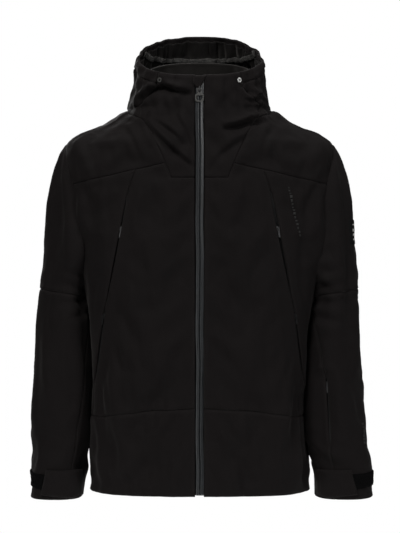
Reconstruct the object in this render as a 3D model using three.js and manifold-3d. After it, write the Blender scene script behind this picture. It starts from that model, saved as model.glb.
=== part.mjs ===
// A hooded ski jacket, closed at the front and standing open as if worn, in millimetres.
// +Z is up, the front faces -Y and the wearer's left arm is on +X. The origin is the hanger loop at the back of the neck.
// Every cloth piece is a closed shell with the thickness of the padded cloth, cut from a whole garment form
// along its seams, as a tailor cuts panels. Zips, sliders, pulls and fastenings are separate pieces.
import * as THREE from "three";
import { mergeVertices } from "three/addons/utils/BufferGeometryUtils.js";
import Module from "manifold-3d";

const wasm = await Module();
wasm.setup();

// ---------- driving dimensions ----------
const HEM = 18; // height of the hem; the lowest point of the cuffs is at 0
const HEM_HALF_WIDTH = 222;
const WAIST_HALF_WIDTH = 211;
const CHEST_HALF_WIDTH = 248;
const SHOULDER_PAST_CHEST = 19;
const SHOULDER_HALF_WIDTH = CHEST_HALF_WIDTH + SHOULDER_PAST_CHEST;
const SHOULDER_HEIGHT = 692;
const NECK_HALF_WIDTH = 139;
const NECK_SEAM = 770; // where the hood is sewn on, at the sides and back
const HEM_DEPTH_FRONT = 150; // from the side seam to the zip, at the hem
const CHIN_DEPTH_FRONT = 120; // the same at the top of the zip
const HEM_DEPTH_BACK = 130;
const CHIN = 826; // top edge of the chin guard
const HOOD_TOP = 932; // the hood's rim at the crown
const CUFF_HALF_WIDTH = 56;
const CUFF_TO_HEM = 6; // between a hanging cuff and the hem
const CUFF_OUT = HEM_HALF_WIDTH + CUFF_TO_HEM + CUFF_HALF_WIDTH; // from the middle of the jacket to the middle of a cuff
const CUFF_HALF_DEPTH = 62;
const ELBOW = 400; // height of the seam across each sleeve
const HEM_SEAM = 186; // the seam above the hem panels, at the zip
const CHIN_SEAM = 629; // the seam under the chin guard

const SHELL = 5; // thickness of the padded body cloth
const SLEEVE_SHELL = 4;
const LINING = 2;
const LINING_INSET = 12; // from the jacket's outside to the lining's outside
const SEAM_GAP = 0.4; // between two panels sewn together
const FIT_GAP = 0.6; // between pieces that lie on each other

const ZIP_HALF_WIDTH = 8.2; // half the visible front zip
const MAIN_SCALE = 1; // sizes of the sliders and pulls, against the front zip's
const POCKET_SCALE = 0.7;
const ZIP_START = HEM + 3;
const AROUND_BODY = 32;
const AROUND_SLEEVE = 16;
const AROUND_INNER = 24; // the loose inner pieces

// ---------- profiles of the garment form ----------
// A smooth curve through [height, value] pairs, level beyond both ends.
function profile(...knots) {
  return (z) => {
    const last = knots.length - 1;
    if (z <= knots[0][0]) return knots[0][1];
    if (z >= knots[last][0]) return knots[last][1];
    const i = knots.findIndex((k) => k[0] > z) - 1;
    const [p, q] = [knots[i], knots[i + 1]];
    const slope = (a, b) => (b[1] - a[1]) / (b[0] - a[0]);
    const here = slope(p, q);
    const easy = (s, t) => (s * t <= 0 ? 0 : (2 * s * t) / (s + t));
    const startSlope = i > 0 ? easy(slope(knots[i - 1], p), here) : here;
    const endSlope = i + 1 < last ? easy(here, slope(q, knots[i + 2])) : here;
    const width = q[0] - p[0];
    const t = (z - p[0]) / width;
    const [t2, t3] = [t * t, t * t * t];
    return (
      (2 * t3 - 3 * t2 + 1) * p[1] +
      (t3 - 2 * t2 + t) * width * startSlope +
      (3 * t2 - 2 * t3) * q[1] +
      (t3 - t2) * width * endSlope
    );
  };
}

// Body and hood are one column: half width, depth behind the side seam, and how square the section is.
const bodyHalfWidth = profile(
  [HEM, HEM_HALF_WIDTH],
  [80, HEM_HALF_WIDTH - 2],
  [190, WAIST_HALF_WIDTH],
  [300, WAIST_HALF_WIDTH + 4],
  [ELBOW, WAIST_HALF_WIDTH + 15],
  [500, CHEST_HALF_WIDTH],
  [610, CHEST_HALF_WIDTH + 13],
  [SHOULDER_HEIGHT - 20, SHOULDER_HALF_WIDTH],
  [SHOULDER_HEIGHT + 6, SHOULDER_HALF_WIDTH - 4],
  [SHOULDER_HEIGHT + 24, SHOULDER_HALF_WIDTH - 23],
  [NECK_SEAM - 18, NECK_HALF_WIDTH + 35],
  [NECK_SEAM - 2, NECK_HALF_WIDTH],
  [NECK_SEAM + 20, NECK_HALF_WIDTH - 2],
  [NECK_SEAM + 66, NECK_HALF_WIDTH - 9],
  [NECK_SEAM + 100, NECK_HALF_WIDTH - 16],
  [HOOD_TOP - 36, NECK_HALF_WIDTH - 27],
  [HOOD_TOP, NECK_HALF_WIDTH - 48],
  [HOOD_TOP + 48, NECK_HALF_WIDTH - 74],
);
const bodyDepthBack = profile(
  [HEM, HEM_DEPTH_BACK],
  [190, HEM_DEPTH_BACK - 8],
  [450, HEM_DEPTH_BACK - 2],
  [580, HEM_DEPTH_BACK + 2],
  [SHOULDER_HEIGHT, HEM_DEPTH_BACK - 8],
  [NECK_SEAM, HEM_DEPTH_BACK - 22],
  [NECK_SEAM + 34, HEM_DEPTH_BACK - 8],
  [NECK_SEAM + 74, HEM_DEPTH_BACK + 4],
  [HOOD_TOP - 44, HEM_DEPTH_BACK],
  [HOOD_TOP, HEM_DEPTH_BACK - 22],
);
const bodySquareness = profile(
  [520, 2.8],
  [660, 2.4],
  [NECK_SEAM - 40, 2],
  [NECK_SEAM, 2],
  [CHIN, 2.5],
);
const ZIP_LEAN = (HEM_DEPTH_FRONT - CHIN_DEPTH_FRONT) / (CHIN - HEM);
const bodyDepthFront = (z) => HEM_DEPTH_FRONT - ZIP_LEAN * (z - HEM);

// The wearer's left sleeve: centre, half width and half depth of its section.
const sleeveHalfWidth = profile(
  [0, CUFF_HALF_WIDTH],
  [200, CUFF_HALF_WIDTH],
  [ELBOW, CUFF_HALF_WIDTH - 10],
  [500, CUFF_HALF_WIDTH + 8],
  [590, CUFF_HALF_WIDTH + 4],
  [650, CUFF_HALF_WIDTH - 15],
  [SHOULDER_HEIGHT - 4, CUFF_HALF_WIDTH - 33],
  [SHOULDER_HEIGHT + 11, 7],
);
const sleeveHalfDepth = profile(
  [0, CUFF_HALF_DEPTH],
  [200, CUFF_HALF_DEPTH + 10],
  [ELBOW, CUFF_HALF_DEPTH + 22],
  [500, CUFF_HALF_DEPTH + 24],
  [590, CUFF_HALF_DEPTH + 16],
  [650, CUFF_HALF_DEPTH - 4],
  [SHOULDER_HEIGHT - 4, CUFF_HALF_DEPTH - 32],
  [SHOULDER_HEIGHT + 11, 9],
);
const sleeveOuter = profile(
  [0, CUFF_OUT + CUFF_HALF_WIDTH],
  [200, CUFF_OUT + 47],
  [ELBOW, CUFF_OUT + 34],
  [500, SHOULDER_HALF_WIDTH + 43],
  [600, SHOULDER_HALF_WIDTH + 32],
  [650, SHOULDER_HALF_WIDTH + 23],
  [SHOULDER_HEIGHT - 10, SHOULDER_HALF_WIDTH + 12],
  [SHOULDER_HEIGHT + 11, SHOULDER_HALF_WIDTH - 2],
);
const sleeveMiddleY = profile([0, -12], [200, 0], [ELBOW, 12], [SHOULDER_HEIGHT, 8]);

const bodySection = (z) => ({
  x: 0,
  y: 0,
  halfWidth: bodyHalfWidth(z),
  front: bodyDepthFront(z),
  back: bodyDepthBack(z),
  squareness: bodySquareness(z),
});
const sleeveSection = (z) => ({
  x: sleeveOuter(z) - sleeveHalfWidth(z),
  y: sleeveMiddleY(z),
  halfWidth: sleeveHalfWidth(z),
  front: sleeveHalfDepth(z),
  back: sleeveHalfDepth(z),
  squareness: 2.1,
});

// The body's front surface at x, measured towards the front.
function frontOfBody(x, z) {
  const s = bodySection(z);
  const share = Math.min(1, Math.abs(x) / s.halfWidth) ** s.squareness;
  return s.front * (1 - share) ** (1 / s.squareness);
}

// ---------- solids ----------
function solid(geometry) {
  const bare = geometry.clone();
  bare.deleteAttribute("normal");
  bare.deleteAttribute("uv");
  const merged = mergeVertices(bare, 1e-4);
  return new wasm.Manifold(
    new wasm.Mesh({
      numProp: 3,
      vertProperties: merged.attributes.position.array,
      triVerts: new Uint32Array(merged.index.array),
    }),
  );
}

function geometryOf(made) {
  const mesh = made.getMesh();
  const points = new Float32Array(mesh.numVert * 3);
  for (let i = 0; i < mesh.numVert; i++)
    points.set(mesh.vertProperties.subarray(i * mesh.numProp, i * mesh.numProp + 3), i * 3);
  return new THREE.BufferGeometry()
    .setAttribute("position", new THREE.BufferAttribute(points, 3))
    .setIndex(new THREE.BufferAttribute(mesh.triVerts, 1));
}

// A closed column through the sections at the given heights, taken in by inset all round.
// Its slanted stretches, such as the shoulders, are lowered by sink, so that they keep their thickness.
function column(sectionAt, heights, around, inset = 0, sink = 0) {
  const steps = heights.length - 1;
  const g = new THREE.CylinderGeometry(1, 1, 1, around, steps);
  const p = g.attributes.position;
  for (let i = 0; i < p.count; i++) {
    const z = heights[Math.round((p.getY(i) + 0.5) * steps)];
    const reach = Math.hypot(p.getX(i), p.getZ(i)) > 0.5 ? 1 : 0;
    const angle = Math.atan2(p.getX(i), p.getZ(i));
    const [sin, cos] = [Math.sin(angle), Math.cos(angle)];
    const s = sectionAt(z + sink);
    const power = 2 / s.squareness;
    const depth = (cos > 0 ? s.front : s.back) - inset;
    const across = Math.sign(sin) * Math.abs(sin) ** power * (s.halfWidth - inset);
    const along = -Math.sign(cos) * Math.abs(cos) ** power * depth;
    p.setXYZ(i, s.x + reach * across, s.y + reach * along, z);
  }
  return solid(g);
}

function box(low, high) {
  const size = high.map((h, i) => h - low[i]);
  const g = new THREE.BoxGeometry(...size);
  g.translate(...low.map((l, i) => l + size[i] / 2));
  return g;
}
const block = (low, high) => solid(box(low, high));

// An outline drawn in front view, [x, z], carried from fromY back to toY.
function prism(outline, fromY, toY) {
  const shape = new THREE.Shape(outline.map(([x, z]) => new THREE.Vector2(x, z)));
  const g = new THREE.ExtrudeGeometry(shape, { depth: toY - fromY, bevelEnabled: false });
  g.rotateX(Math.PI / 2);
  g.translate(0, toY, 0);
  return solid(g);
}

// A cut as wide as a seam along a line drawn in front view.
function blade(line, fromY, toY, width = SEAM_GAP) {
  const points = line.map(([x, z]) => new THREE.Vector2(x, z));
  const sides = points.map((p, i) => {
    const before = points[Math.max(0, i - 1)];
    const after = points[Math.min(points.length - 1, i + 1)];
    const d = after.clone().sub(before).normalize();
    return new THREE.Vector2(-d.y, d.x).multiplyScalar(width / 2);
  });
  const one = points.map((p, i) => [p.x + sides[i].x, p.y + sides[i].y]);
  const other = points.map((p, i) => [p.x - sides[i].x, p.y - sides[i].y]).reverse();
  return prism([...one, ...other], fromY, toY);
}

const mirrored = (line) => line.map(([x, z]) => [-x, z]);
const mirroredX = (made) => made.mirror([1, 0, 0]);

// The one of several separate pieces that holds a point.
function pieceAt(pieces, x, y, z) {
  const probe = block([x - 3, y - 12, z - 3], [x + 3, y + 12, z + 3]);
  const found = pieces.filter((p) => p.intersect(probe).volume() > 1);
  if (found.length !== 1) throw new Error(`${found.length} pieces at ${x}, ${y}, ${z}`);
  return found[0];
}

// ---------- materials ----------
const finish = (color, roughness, metalness = 0) =>
  new THREE.MeshStandardMaterial({ color, roughness, metalness });
const looks = {
  shell: finish("#1a1817", 0.82),
  lining: finish("#131212", 0.7),
  fleece: finish("#181716", 0.95),
  film: finish("#33373a", 0.35),
  tape: finish("#0f0f10", 0.8),
  metal: finish("#2b2c2e", 0.35, 0.9),
  plastic: finish("#101011", 0.45),
  loop: finish("#060707", 1),
  elastic: finish("#171717", 0.8),
  label: finish("#0b0b0c", 0.7),
};

// ---------- scene graph ----------
const jacket = new THREE.Group();
const LOOP_Y = HEM_DEPTH_BACK - 50; // the hanger loop's place at the back of the neck
const LOOP_Z = NECK_SEAM + 8;
const garment = new THREE.Group(); // moves the form so that the loop is the origin
garment.position.set(0, -LOOP_Y, -LOOP_Z);
jacket.add(garment);

function add(name, shape, material, parent = garment) {
  const mesh = new THREE.Mesh(shape.isBufferGeometry ? shape : geometryOf(shape), material);
  mesh.name = name;
  parent.add(mesh);
}

// ---------- the whole form and its openings ----------
const FAR = 400; // beyond the jacket on every side
const SIDE_SEAM_Y = 8; // the side and shoulder seams, a little behind the arms' middle
const bodyHeights = [
  HEM, 110, 190, 300, 390, 475, 560, 635, 680, 700, 716, 734, 752,
  NECK_SEAM, NECK_SEAM + 30, NECK_SEAM + 70, HOOD_TOP - 52, HOOD_TOP - 20, HOOD_TOP + 30,
];
const beyond = (heights, below, above) => [
  heights[0] - below,
  ...heights.slice(1, -1),
  heights[heights.length - 1] + above,
];
const body = (inset, sink = inset * 0.6) =>
  column(bodySection, beyond(bodyHeights, inset ? 30 : 0, inset ? 20 : 0), AROUND_BODY, inset, sink);

const sleeveHeights = [
  0, 130, 260, ELBOW, 490, 570, 620, 655, 684, SHOULDER_HEIGHT + 2, SHOULDER_HEIGHT + 11,
];
const sleeve = (inset) =>
  column(
    sleeveSection,
    inset > 0 ? [-30, ...sleeveHeights.slice(1, -1)] : sleeveHeights,
    AROUND_SLEEVE,
    inset,
    inset,
  );

// The rim leans back from the chin to the crown.
const RIM_FRONT_Y = -CHIN_DEPTH_FRONT - SHELL;
const RIM_BACK_Y = HEM_DEPTH_BACK - 25;
const RIM_SLOPE = (HOOD_TOP - CHIN) / (RIM_BACK_Y - RIM_FRONT_Y);
const rimHeight = (y) => CHIN + RIM_SLOPE * (y - RIM_FRONT_Y);

// Everything above a plane that leans like the rim, drop below it, between two depths.
function aboveLeaning(drop, slope = RIM_SLOPE, level = CHIN) {
  const at = (y) => level + slope * (y - RIM_FRONT_Y) - drop;
  const side = new THREE.Shape([
    new THREE.Vector2(-FAR, at(-FAR)),
    new THREE.Vector2(FAR, at(FAR)),
    new THREE.Vector2(FAR, 1500),
    new THREE.Vector2(-FAR, 1500),
  ]);
  const g = new THREE.ExtrudeGeometry(side, { depth: 2 * FAR, bevelEnabled: false });
  g.rotateX(Math.PI / 2);
  g.rotateZ(Math.PI / 2);
  g.translate(-FAR, 0, 0);
  return solid(g);
}
const aboveRim = aboveLeaning(0);

const leftSleeveHollow = sleeve(SLEEVE_SHELL);
const armholes = leftSleeveHollow.add(mirroredX(leftSleeveHollow));
const wholeBody = body(0);
const zipGap = block([-ZIP_HALF_WIDTH - SEAM_GAP, -FAR, 0], [ZIP_HALF_WIDTH + SEAM_GAP, 0, 1200]);

// ---------- seams, drawn in front view on the wearer's left ----------
const chinSeamWidth = 55;
const yokeInner = [123, 645];
const neckSeam = [
  [0, CHIN_SEAM],
  [chinSeamWidth, CHIN_SEAM],
  [72, 672],
  [92, 716],
  [110, 744],
  [NECK_HALF_WIDTH + 20, NECK_SEAM],
];
const yokeSeam = [[66, 657], yokeInner, [190, 631], [FAR, 590]];
const pocketSeam = [yokeInner, [138, 602], [160, 495], [180, 392], [194, 345], [202, 300], [207, HEM_SEAM - 25]];
const hemSeam = [[0, HEM_SEAM], [100, HEM_SEAM - 6], [190, HEM_SEAM - 20], [FAR, HEM_SEAM - 30]];
const chinEdge = [[124, 740], [112, 772], [98, 792], [80, 808], [72, 900]];
const CENTRE_PANEL_HALF = 62; // half the hood's middle panel

// Pocket openings: from and to, in front view, with the slider's place as a share of the way up.
const chestPocket = { low: [180, 392], high: [138, 602], slider: 0.66 };
const handPocket = { low: [205, 232], high: [184, 376], slider: 0.9 };
const SLOT_HALF = 5.2;
const SLOT_END = 4; // how far a slot runs past its zip

// A frame on the body's front: its Z runs up the line and its -Y faces outwards.
function frameAlong(low, high) {
  const from = new THREE.Vector3(low[0], -frontOfBody(...low), low[1]);
  const to = new THREE.Vector3(high[0], -frontOfBody(...high), high[1]);
  const up = to.clone().sub(from).normalize();
  const middle = [(low[0] + high[0]) / 2, (low[1] + high[1]) / 2];
  const step = 4;
  const run = frontOfBody(middle[0] - step, middle[1]) - frontOfBody(middle[0] + step, middle[1]);
  const inwards = new THREE.Vector3(-run, 2 * step, 0);
  inwards.addScaledVector(up, -inwards.dot(up)).normalize();
  const across = inwards.clone().cross(up);
  const matrix = new THREE.Matrix4().makeBasis(across, inwards, up).setPosition(from);
  return { matrix, length: from.distanceTo(to) };
}

function cutSlot(frame) {
  const g = box([-SLOT_HALF, -30, -SLOT_END], [SLOT_HALF, 14, frame.length + SLOT_END]);
  return solid(g.applyMatrix4(frame.matrix));
}
const mirrorMatrix = new THREE.Matrix4().makeScale(-1, 1, 1);

const chestFrame = frameAlong(chestPocket.low, chestPocket.high);
const handFrame = frameAlong(handPocket.low, handPocket.high);
const leftSlots = cutSlot(chestFrame).add(cutSlot(handFrame));
const slots = leftSlots.add(mirroredX(leftSlots));

// ---------- outer shell panels ----------
const bothBlades = (line, fromY, toY) =>
  blade(line, fromY, toY).add(blade(mirrored(line), fromY, toY));
const wall = wholeBody.subtract(body(SHELL)).subtract(armholes).subtract(aboveRim);

const neckCut = bothBlades(neckSeam, -FAR, SIDE_SEAM_Y).add(
  block([-FAR, SIDE_SEAM_Y - 1, NECK_SEAM - SEAM_GAP / 2], [FAR, FAR, NECK_SEAM + SEAM_GAP / 2]),
);
const sideCut = block([-FAR, SIDE_SEAM_Y, 0], [FAR, SIDE_SEAM_Y + SEAM_GAP, NECK_SEAM]);
const BACK_YOKE_SEAM = 600;
const backCuts = block([-FAR, SIDE_SEAM_Y, BACK_YOKE_SEAM], [FAR, FAR, BACK_YOKE_SEAM + SEAM_GAP]).add(
  block([-FAR, SIDE_SEAM_Y, HEM_SEAM - 30], [FAR, FAR, HEM_SEAM - 30 + SEAM_GAP]),
);
const panels = wall
  .subtract(zipGap)
  .subtract(slots)
  .subtract(neckCut)
  .subtract(sideCut)
  .subtract(backCuts)
  .subtract(bothBlades(yokeSeam, -FAR, SIDE_SEAM_Y))
  .subtract(bothBlades(pocketSeam, -FAR, SIDE_SEAM_Y))
  .subtract(bothBlades(hemSeam, -FAR, SIDE_SEAM_Y))
  .subtract(bothBlades(chinEdge, -FAR, 0))
  .decompose();

const frontPanel = (x, z) => pieceAt(panels, x, -frontOfBody(x, z), z);
for (const [side, s] of [["left", 1], ["right", -1]]) {
  add(`front_panel_${side}`, frontPanel(s * 70, 450), looks.shell);
  add(`side_panel_${side}`, frontPanel(s * (CHEST_HALF_WIDTH - 43), 480), looks.shell);
  add(`front_hem_panel_${side}`, frontPanel(s * 90, 90), looks.shell);
  add(`shoulder_yoke_${side}`, frontPanel(s * 150, 680), looks.shell);
  add(`chin_guard_${side}`, frontPanel(s * 35, 720), looks.shell);
}
add("back_panel", pieceAt(panels, 0, bodyDepthBack(400), 400), looks.shell);
add("back_yoke", pieceAt(panels, 0, bodyDepthBack(680), 680), looks.shell);
add("back_hem_panel", pieceAt(panels, 0, bodyDepthBack(90), 90), looks.shell);

// ---------- hood ----------
const RIM_BAND = 22; // height of the folded band along the hood's edge
const hoodWhole = pieceAt(panels, 0, bodyDepthBack(850), 850);
const bandCut = aboveLeaning(RIM_BAND).subtract(aboveLeaning(RIM_BAND - SEAM_GAP));
const centreCut = blade([[CENTRE_PANEL_HALF, 700], [CENTRE_PANEL_HALF, 1100]], 0, FAR).add(
  blade([[-CENTRE_PANEL_HALF, 700], [-CENTRE_PANEL_HALF, 1100]], 0, FAR),
);
const belowBand = hoodWhole.subtract(aboveLeaning(RIM_BAND)).subtract(centreCut).decompose();
add("hood_rim_band", hoodWhole.intersect(aboveLeaning(RIM_BAND - SEAM_GAP)), looks.shell);
add("hood_centre_panel", pieceAt(belowBand, 0, bodyDepthBack(820), 820), looks.shell);
add("hood_side_left", pieceAt(belowBand, bodyHalfWidth(800) - 1, 0, 800), looks.shell);
add("hood_side_right", pieceAt(belowBand, 1 - bodyHalfWidth(800), 0, 800), looks.shell);

// The hood's lining, clear of the shell and short of the rim.
const hoodLiningInset = SHELL + 1.8;
const hoodHeights = bodyHeights.filter((z) => z >= NECK_SEAM);
const hoodColumn = (inset) =>
  column(bodySection, hoodHeights, AROUND_INNER, inset, inset * 0.6);
const hoodOnly = block([-FAR, -FAR, NECK_SEAM + 4], [FAR, FAR, 1200]).subtract(
  prism([[-112, 0], [112, 0], [112, 772], [98, 792], [80, 808], [74, 900], [-74, 900], [-80, 808], [-98, 792], [-112, 772]], -FAR, 0),
);
add(
  "hood_lining",
  hoodColumn(hoodLiningInset)
    .subtract(hoodColumn(hoodLiningInset + LINING))
    .intersect(hoodOnly)
    .subtract(aboveLeaning(8)),
  looks.lining,
);

// An elastic tape that gathers the hood's back, on the lining.
const tapeInset = hoodLiningInset + LINING + FIT_GAP;
const TAPE_LEVEL = HOOD_TOP - 51;
add(
  "hood_elastic_tape",
  hoodColumn(tapeInset)
    .subtract(hoodColumn(tapeInset + 1.2))
    .intersect(block([-FAR, 30, TAPE_LEVEL], [FAR, FAR, TAPE_LEVEL + 10])),
  looks.elastic,
);

// ---------- collar, lining and snow skirt ----------
const collarSection = (z) => {
  const up = (z - NECK_SEAM) / 100;
  return { x: 0, y: -6, halfWidth: 117 - 19 * up, front: 98 + 3 * up, back: 98 - 16 * up, squareness: 2.3 };
};
const collarHeights = [NECK_SEAM - 2, NECK_SEAM + 40, NECK_SEAM + 115];
const COLLAR_SLOPE = 0.33;
add(
  "inner_collar",
  column(collarSection, collarHeights, AROUND_INNER)
    .subtract(column(collarSection, beyond(collarHeights, 5, 5), AROUND_INNER, 4))
    .subtract(aboveLeaning(16, COLLAR_SLOPE))
    .subtract(zipGap),
  looks.fleece,
);

const liningHeights = [HEM + 40, 190, 300, 400, 500, 600, 665, 694, 714, 735, NECK_SEAM - 12];
const liningColumn = (inset) =>
  column(bodySection, beyond(liningHeights, 10, 10), AROUND_INNER, inset, inset * 0.6);
add(
  "body_lining",
  liningColumn(LINING_INSET)
    .subtract(liningColumn(LINING_INSET + LINING))
    .intersect(block([-FAR, -FAR, HEM + 40], [FAR, FAR, NECK_SEAM - 12]))
    .subtract(armholes)
    .subtract(block([-ZIP_HALF_WIDTH - 8, -FAR, 0], [ZIP_HALF_WIDTH + 8, 0, 1200])),
  looks.lining,
);

const SKIRT_TOP = HEM_SEAM - 8;
const SKIRT_FOOT = HEM + 52;
const skirtSection = (z) => {
  const s = bodySection(z);
  const inset = LINING_INSET + LINING + FIT_GAP + (18 * (SKIRT_TOP - z)) / (SKIRT_TOP - SKIRT_FOOT);
  return { ...s, halfWidth: s.halfWidth - inset, front: s.front - inset, back: s.back - inset };
};
const skirtHeights = [SKIRT_FOOT, (SKIRT_FOOT + SKIRT_TOP) / 2, SKIRT_TOP];
add(
  "snow_skirt",
  column(skirtSection, skirtHeights, AROUND_INNER)
    .subtract(column(skirtSection, beyond(skirtHeights, 5, 5), AROUND_INNER, LINING))
    .subtract(block([-20, -FAR, 0], [20, 0, 1200])),
  looks.lining,
);

// ---------- hanger loop, at the origin ----------
const loopTape = new THREE.Shape([
  new THREE.Vector2(-26, 4),
  new THREE.Vector2(-26, -6),
  new THREE.Vector2(26, -6),
  new THREE.Vector2(26, 4),
]);
loopTape.holes.push(
  new THREE.Path([
    new THREE.Vector2(-23, -3.5),
    new THREE.Vector2(-23, 1.5),
    new THREE.Vector2(23, 1.5),
    new THREE.Vector2(23, -3.5),
  ]),
);
const loopGeometry = new THREE.ExtrudeGeometry(loopTape, { depth: 3, bevelEnabled: false });
loopGeometry.translate(0, LOOP_Y, LOOP_Z - 1.5);
add("hanger_loop", loopGeometry, looks.tape);

// ---------- sleeves ----------
const bodyWithGap = column(bodySection, bodyHeights, AROUND_BODY, -SEAM_GAP, -SEAM_GAP);
const sleeveTube = sleeve(0).subtract(leftSleeveHollow);
const upperHalf = block([-FAR, -FAR, ELBOW + SEAM_GAP / 2], [FAR, FAR, 900]);
const lowerHalf = block([-FAR, -FAR, -50], [FAR, FAR, ELBOW - SEAM_GAP / 2]);
const biggest = (made) => made.decompose().reduce((a, b) => (a.volume() > b.volume() ? a : b));

// The forearm pocket is only on the wearer's left.
const FOREARM_POCKET = { x: 252, low: 112, high: 240 };
const frontOfSleeve = (x, z) => {
  const s = sleeveSection(z);
  const share = Math.abs((x - s.x) / s.halfWidth) ** s.squareness;
  return s.y - s.front * (1 - share) ** (1 / s.squareness);
};
function forearmFrame() {
  const { x, low, high } = FOREARM_POCKET;
  const from = new THREE.Vector3(x, frontOfSleeve(x, low), low);
  const to = new THREE.Vector3(x, frontOfSleeve(x, high), high);
  const up = to.clone().sub(from).normalize();
  const middle = (low + high) / 2;
  const rise = frontOfSleeve(x + 3, middle) - frontOfSleeve(x - 3, middle);
  const inwards = new THREE.Vector3(-rise, 6, 0);
  inwards.addScaledVector(up, -inwards.dot(up)).normalize();
  const matrix = new THREE.Matrix4().makeBasis(inwards.clone().cross(up), inwards, up).setPosition(from);
  return { matrix, length: from.distanceTo(to) };
}
const armFrame = forearmFrame();

// ---------- cuffs, drawn in front view on the wearer's left ----------
const TAB_THICK = 2.2;
const LOOP_THICK = 1.2;
const tabOutline = [[240, 58], [298, 60], [308, 12], [250, 6], [240, 9]];
const loopOutline = [[292, 20], [345, 26], [345, 54], [286, 50]];
// A layer on the sleeve from one height above its surface to another.
const layer = (low, high) => sleeve(-high).subtract(sleeve(-low));
const cuffLoop = layer(0.4, 0.4 + LOOP_THICK).intersect(prism(loopOutline, -FAR, 30));
const TAB_FROM = 0.4 + LOOP_THICK + FIT_GAP;
const cuffTab = layer(TAB_FROM, TAB_FROM + TAB_THICK).intersect(prism(tabOutline, -FAR, -14));

const gaiterSection = (z) => {
  const s = sleeveSection(z);
  return { ...s, halfWidth: s.halfWidth - 9, front: s.front - 9, back: s.back - 9 };
};
const gaiterHeights = [16, 50, 84];
const gaiter = column(gaiterSection, gaiterHeights, AROUND_SLEEVE).subtract(
  column(gaiterSection, beyond(gaiterHeights, 4, 4), AROUND_SLEEVE, 2),
);

for (const [side, turn] of [["left", (m) => m], ["right", mirroredX]]) {
  const tube = turn(sleeveTube).subtract(bodyWithGap);
  add(`upper_sleeve_${side}`, biggest(tube.intersect(upperHalf)), looks.shell);
  const forearm = biggest(tube.intersect(lowerHalf));
  add(`forearm_${side}`, side === "left" ? forearm.subtract(cutSlot(armFrame)) : forearm, looks.shell);
  add(`cuff_loop_patch_${side}`, turn(biggest(cuffLoop)), looks.loop);
  add(`cuff_tab_${side}`, turn(biggest(cuffTab)), looks.shell);
  add(`wrist_gaiter_${side}`, turn(gaiter), looks.elastic);
}

// A woven label on the wearer's left upper arm.
const labelOutline = [[296, 500], [330, 500], [330, 552], [296, 552]];
add("arm_label", biggest(layer(0.4, 1.2).intersect(prism(labelOutline, -60, 45))), looks.label);

// ---------- zips ----------
// Sizes of a zip at scale 1. In its frame Z runs up the zip and -Y faces outwards.
const TAPE_FRONT = 0.9;
const TAPE_BACK = 2.1;
const COIL_BACK = 4.3;
const COIL_WIDTH = 3.2;
const TEETH_GAP = 0.9; // half the gap that the slider's post runs in
const PLATE_HALF = 6;
const PLATE_LENGTH = 15;
const PLATE_THICK = 1.6;
const PLATE_CLEAR = 0.4;
const POST_HALF = 0.5;
const BAIL_HALF = 1.3; // half width of the bail that holds the pull
const BAIL_REACH = 4.4;
const BAIL_LONG = 9;
const BAR = 1.8; // thickness of the pull

function sliderGeometry(scale) {
  const front = TAPE_FRONT - PLATE_CLEAR;
  const back = COIL_BACK + PLATE_CLEAR;
  const half = PLATE_LENGTH / 2;
  const plates = block([-PLATE_HALF, front - PLATE_THICK, -half], [PLATE_HALF, front, half])
    .add(block([-PLATE_HALF, back, -half], [PLATE_HALF, back + PLATE_THICK, half]))
    .add(block([-POST_HALF, front - 0.2, half - 4], [POST_HALF, back + 0.2, half]));
  const outer = front - PLATE_THICK;
  const bail = block([-BAIL_HALF, outer - BAIL_REACH, -BAIL_LONG / 2], [BAIL_HALF, outer + 0.2, BAIL_LONG / 2]);
  const eye = block([-3, outer - BAIL_REACH + 1.2, -BAIL_LONG / 2 + 1.3], [3, outer + 0.01, BAIL_LONG / 2 - 1.3]);
  return geometryOf(plates.add(bail.subtract(eye))).scale(scale, scale, scale);
}
const PULL_AXIS_Y = TAPE_FRONT - PLATE_CLEAR - PLATE_THICK - 1.6; // in front of the plate, in the bail's eye

// A pull hangs from its top bar. Its upper hole clears the bail, and below that is a ring or a plain tongue.
function pullGeometry(scale, ringShaped) {
  const wide = ringShaped ? 8.5 : 4;
  const long = ringShaped ? 26 : 24;
  const outline = new THREE.Shape();
  outline.moveTo(-3.4, BAR / 2);
  outline.lineTo(3.4, BAR / 2);
  outline.lineTo(3.4, -9);
  outline.lineTo(wide, -12);
  outline.lineTo(wide, -long + 4);
  outline.quadraticCurveTo(wide, -long, 0, -long);
  outline.quadraticCurveTo(-wide, -long, -wide, -long + 4);
  outline.lineTo(-wide, -12);
  outline.lineTo(-3.4, -9);
  outline.closePath();
  const eye = new THREE.Path();
  eye.moveTo(-1.9, -BAR / 2);
  eye.lineTo(-1.9, -7.5);
  eye.lineTo(1.9, -7.5);
  eye.lineTo(1.9, -BAR / 2);
  outline.holes.push(eye);
  if (ringShaped) {
    const ring = new THREE.Path();
    ring.moveTo(-wide + 2.4, -13.5);
    ring.quadraticCurveTo(-wide + 2.2, -long + 2.4, 0, -long + 2.2);
    ring.quadraticCurveTo(wide - 2.2, -long + 2.4, wide - 2.4, -13.5);
    outline.holes.push(ring);
  }
  const g = new THREE.ExtrudeGeometry(outline, { depth: BAR, bevelEnabled: false, curveSegments: 5 });
  g.translate(0, 0, -BAR / 2);
  g.rotateX(Math.PI / 2);
  g.translate(0, PULL_AXIS_Y, 0);
  return g.scale(scale, scale, scale);
}

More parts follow.
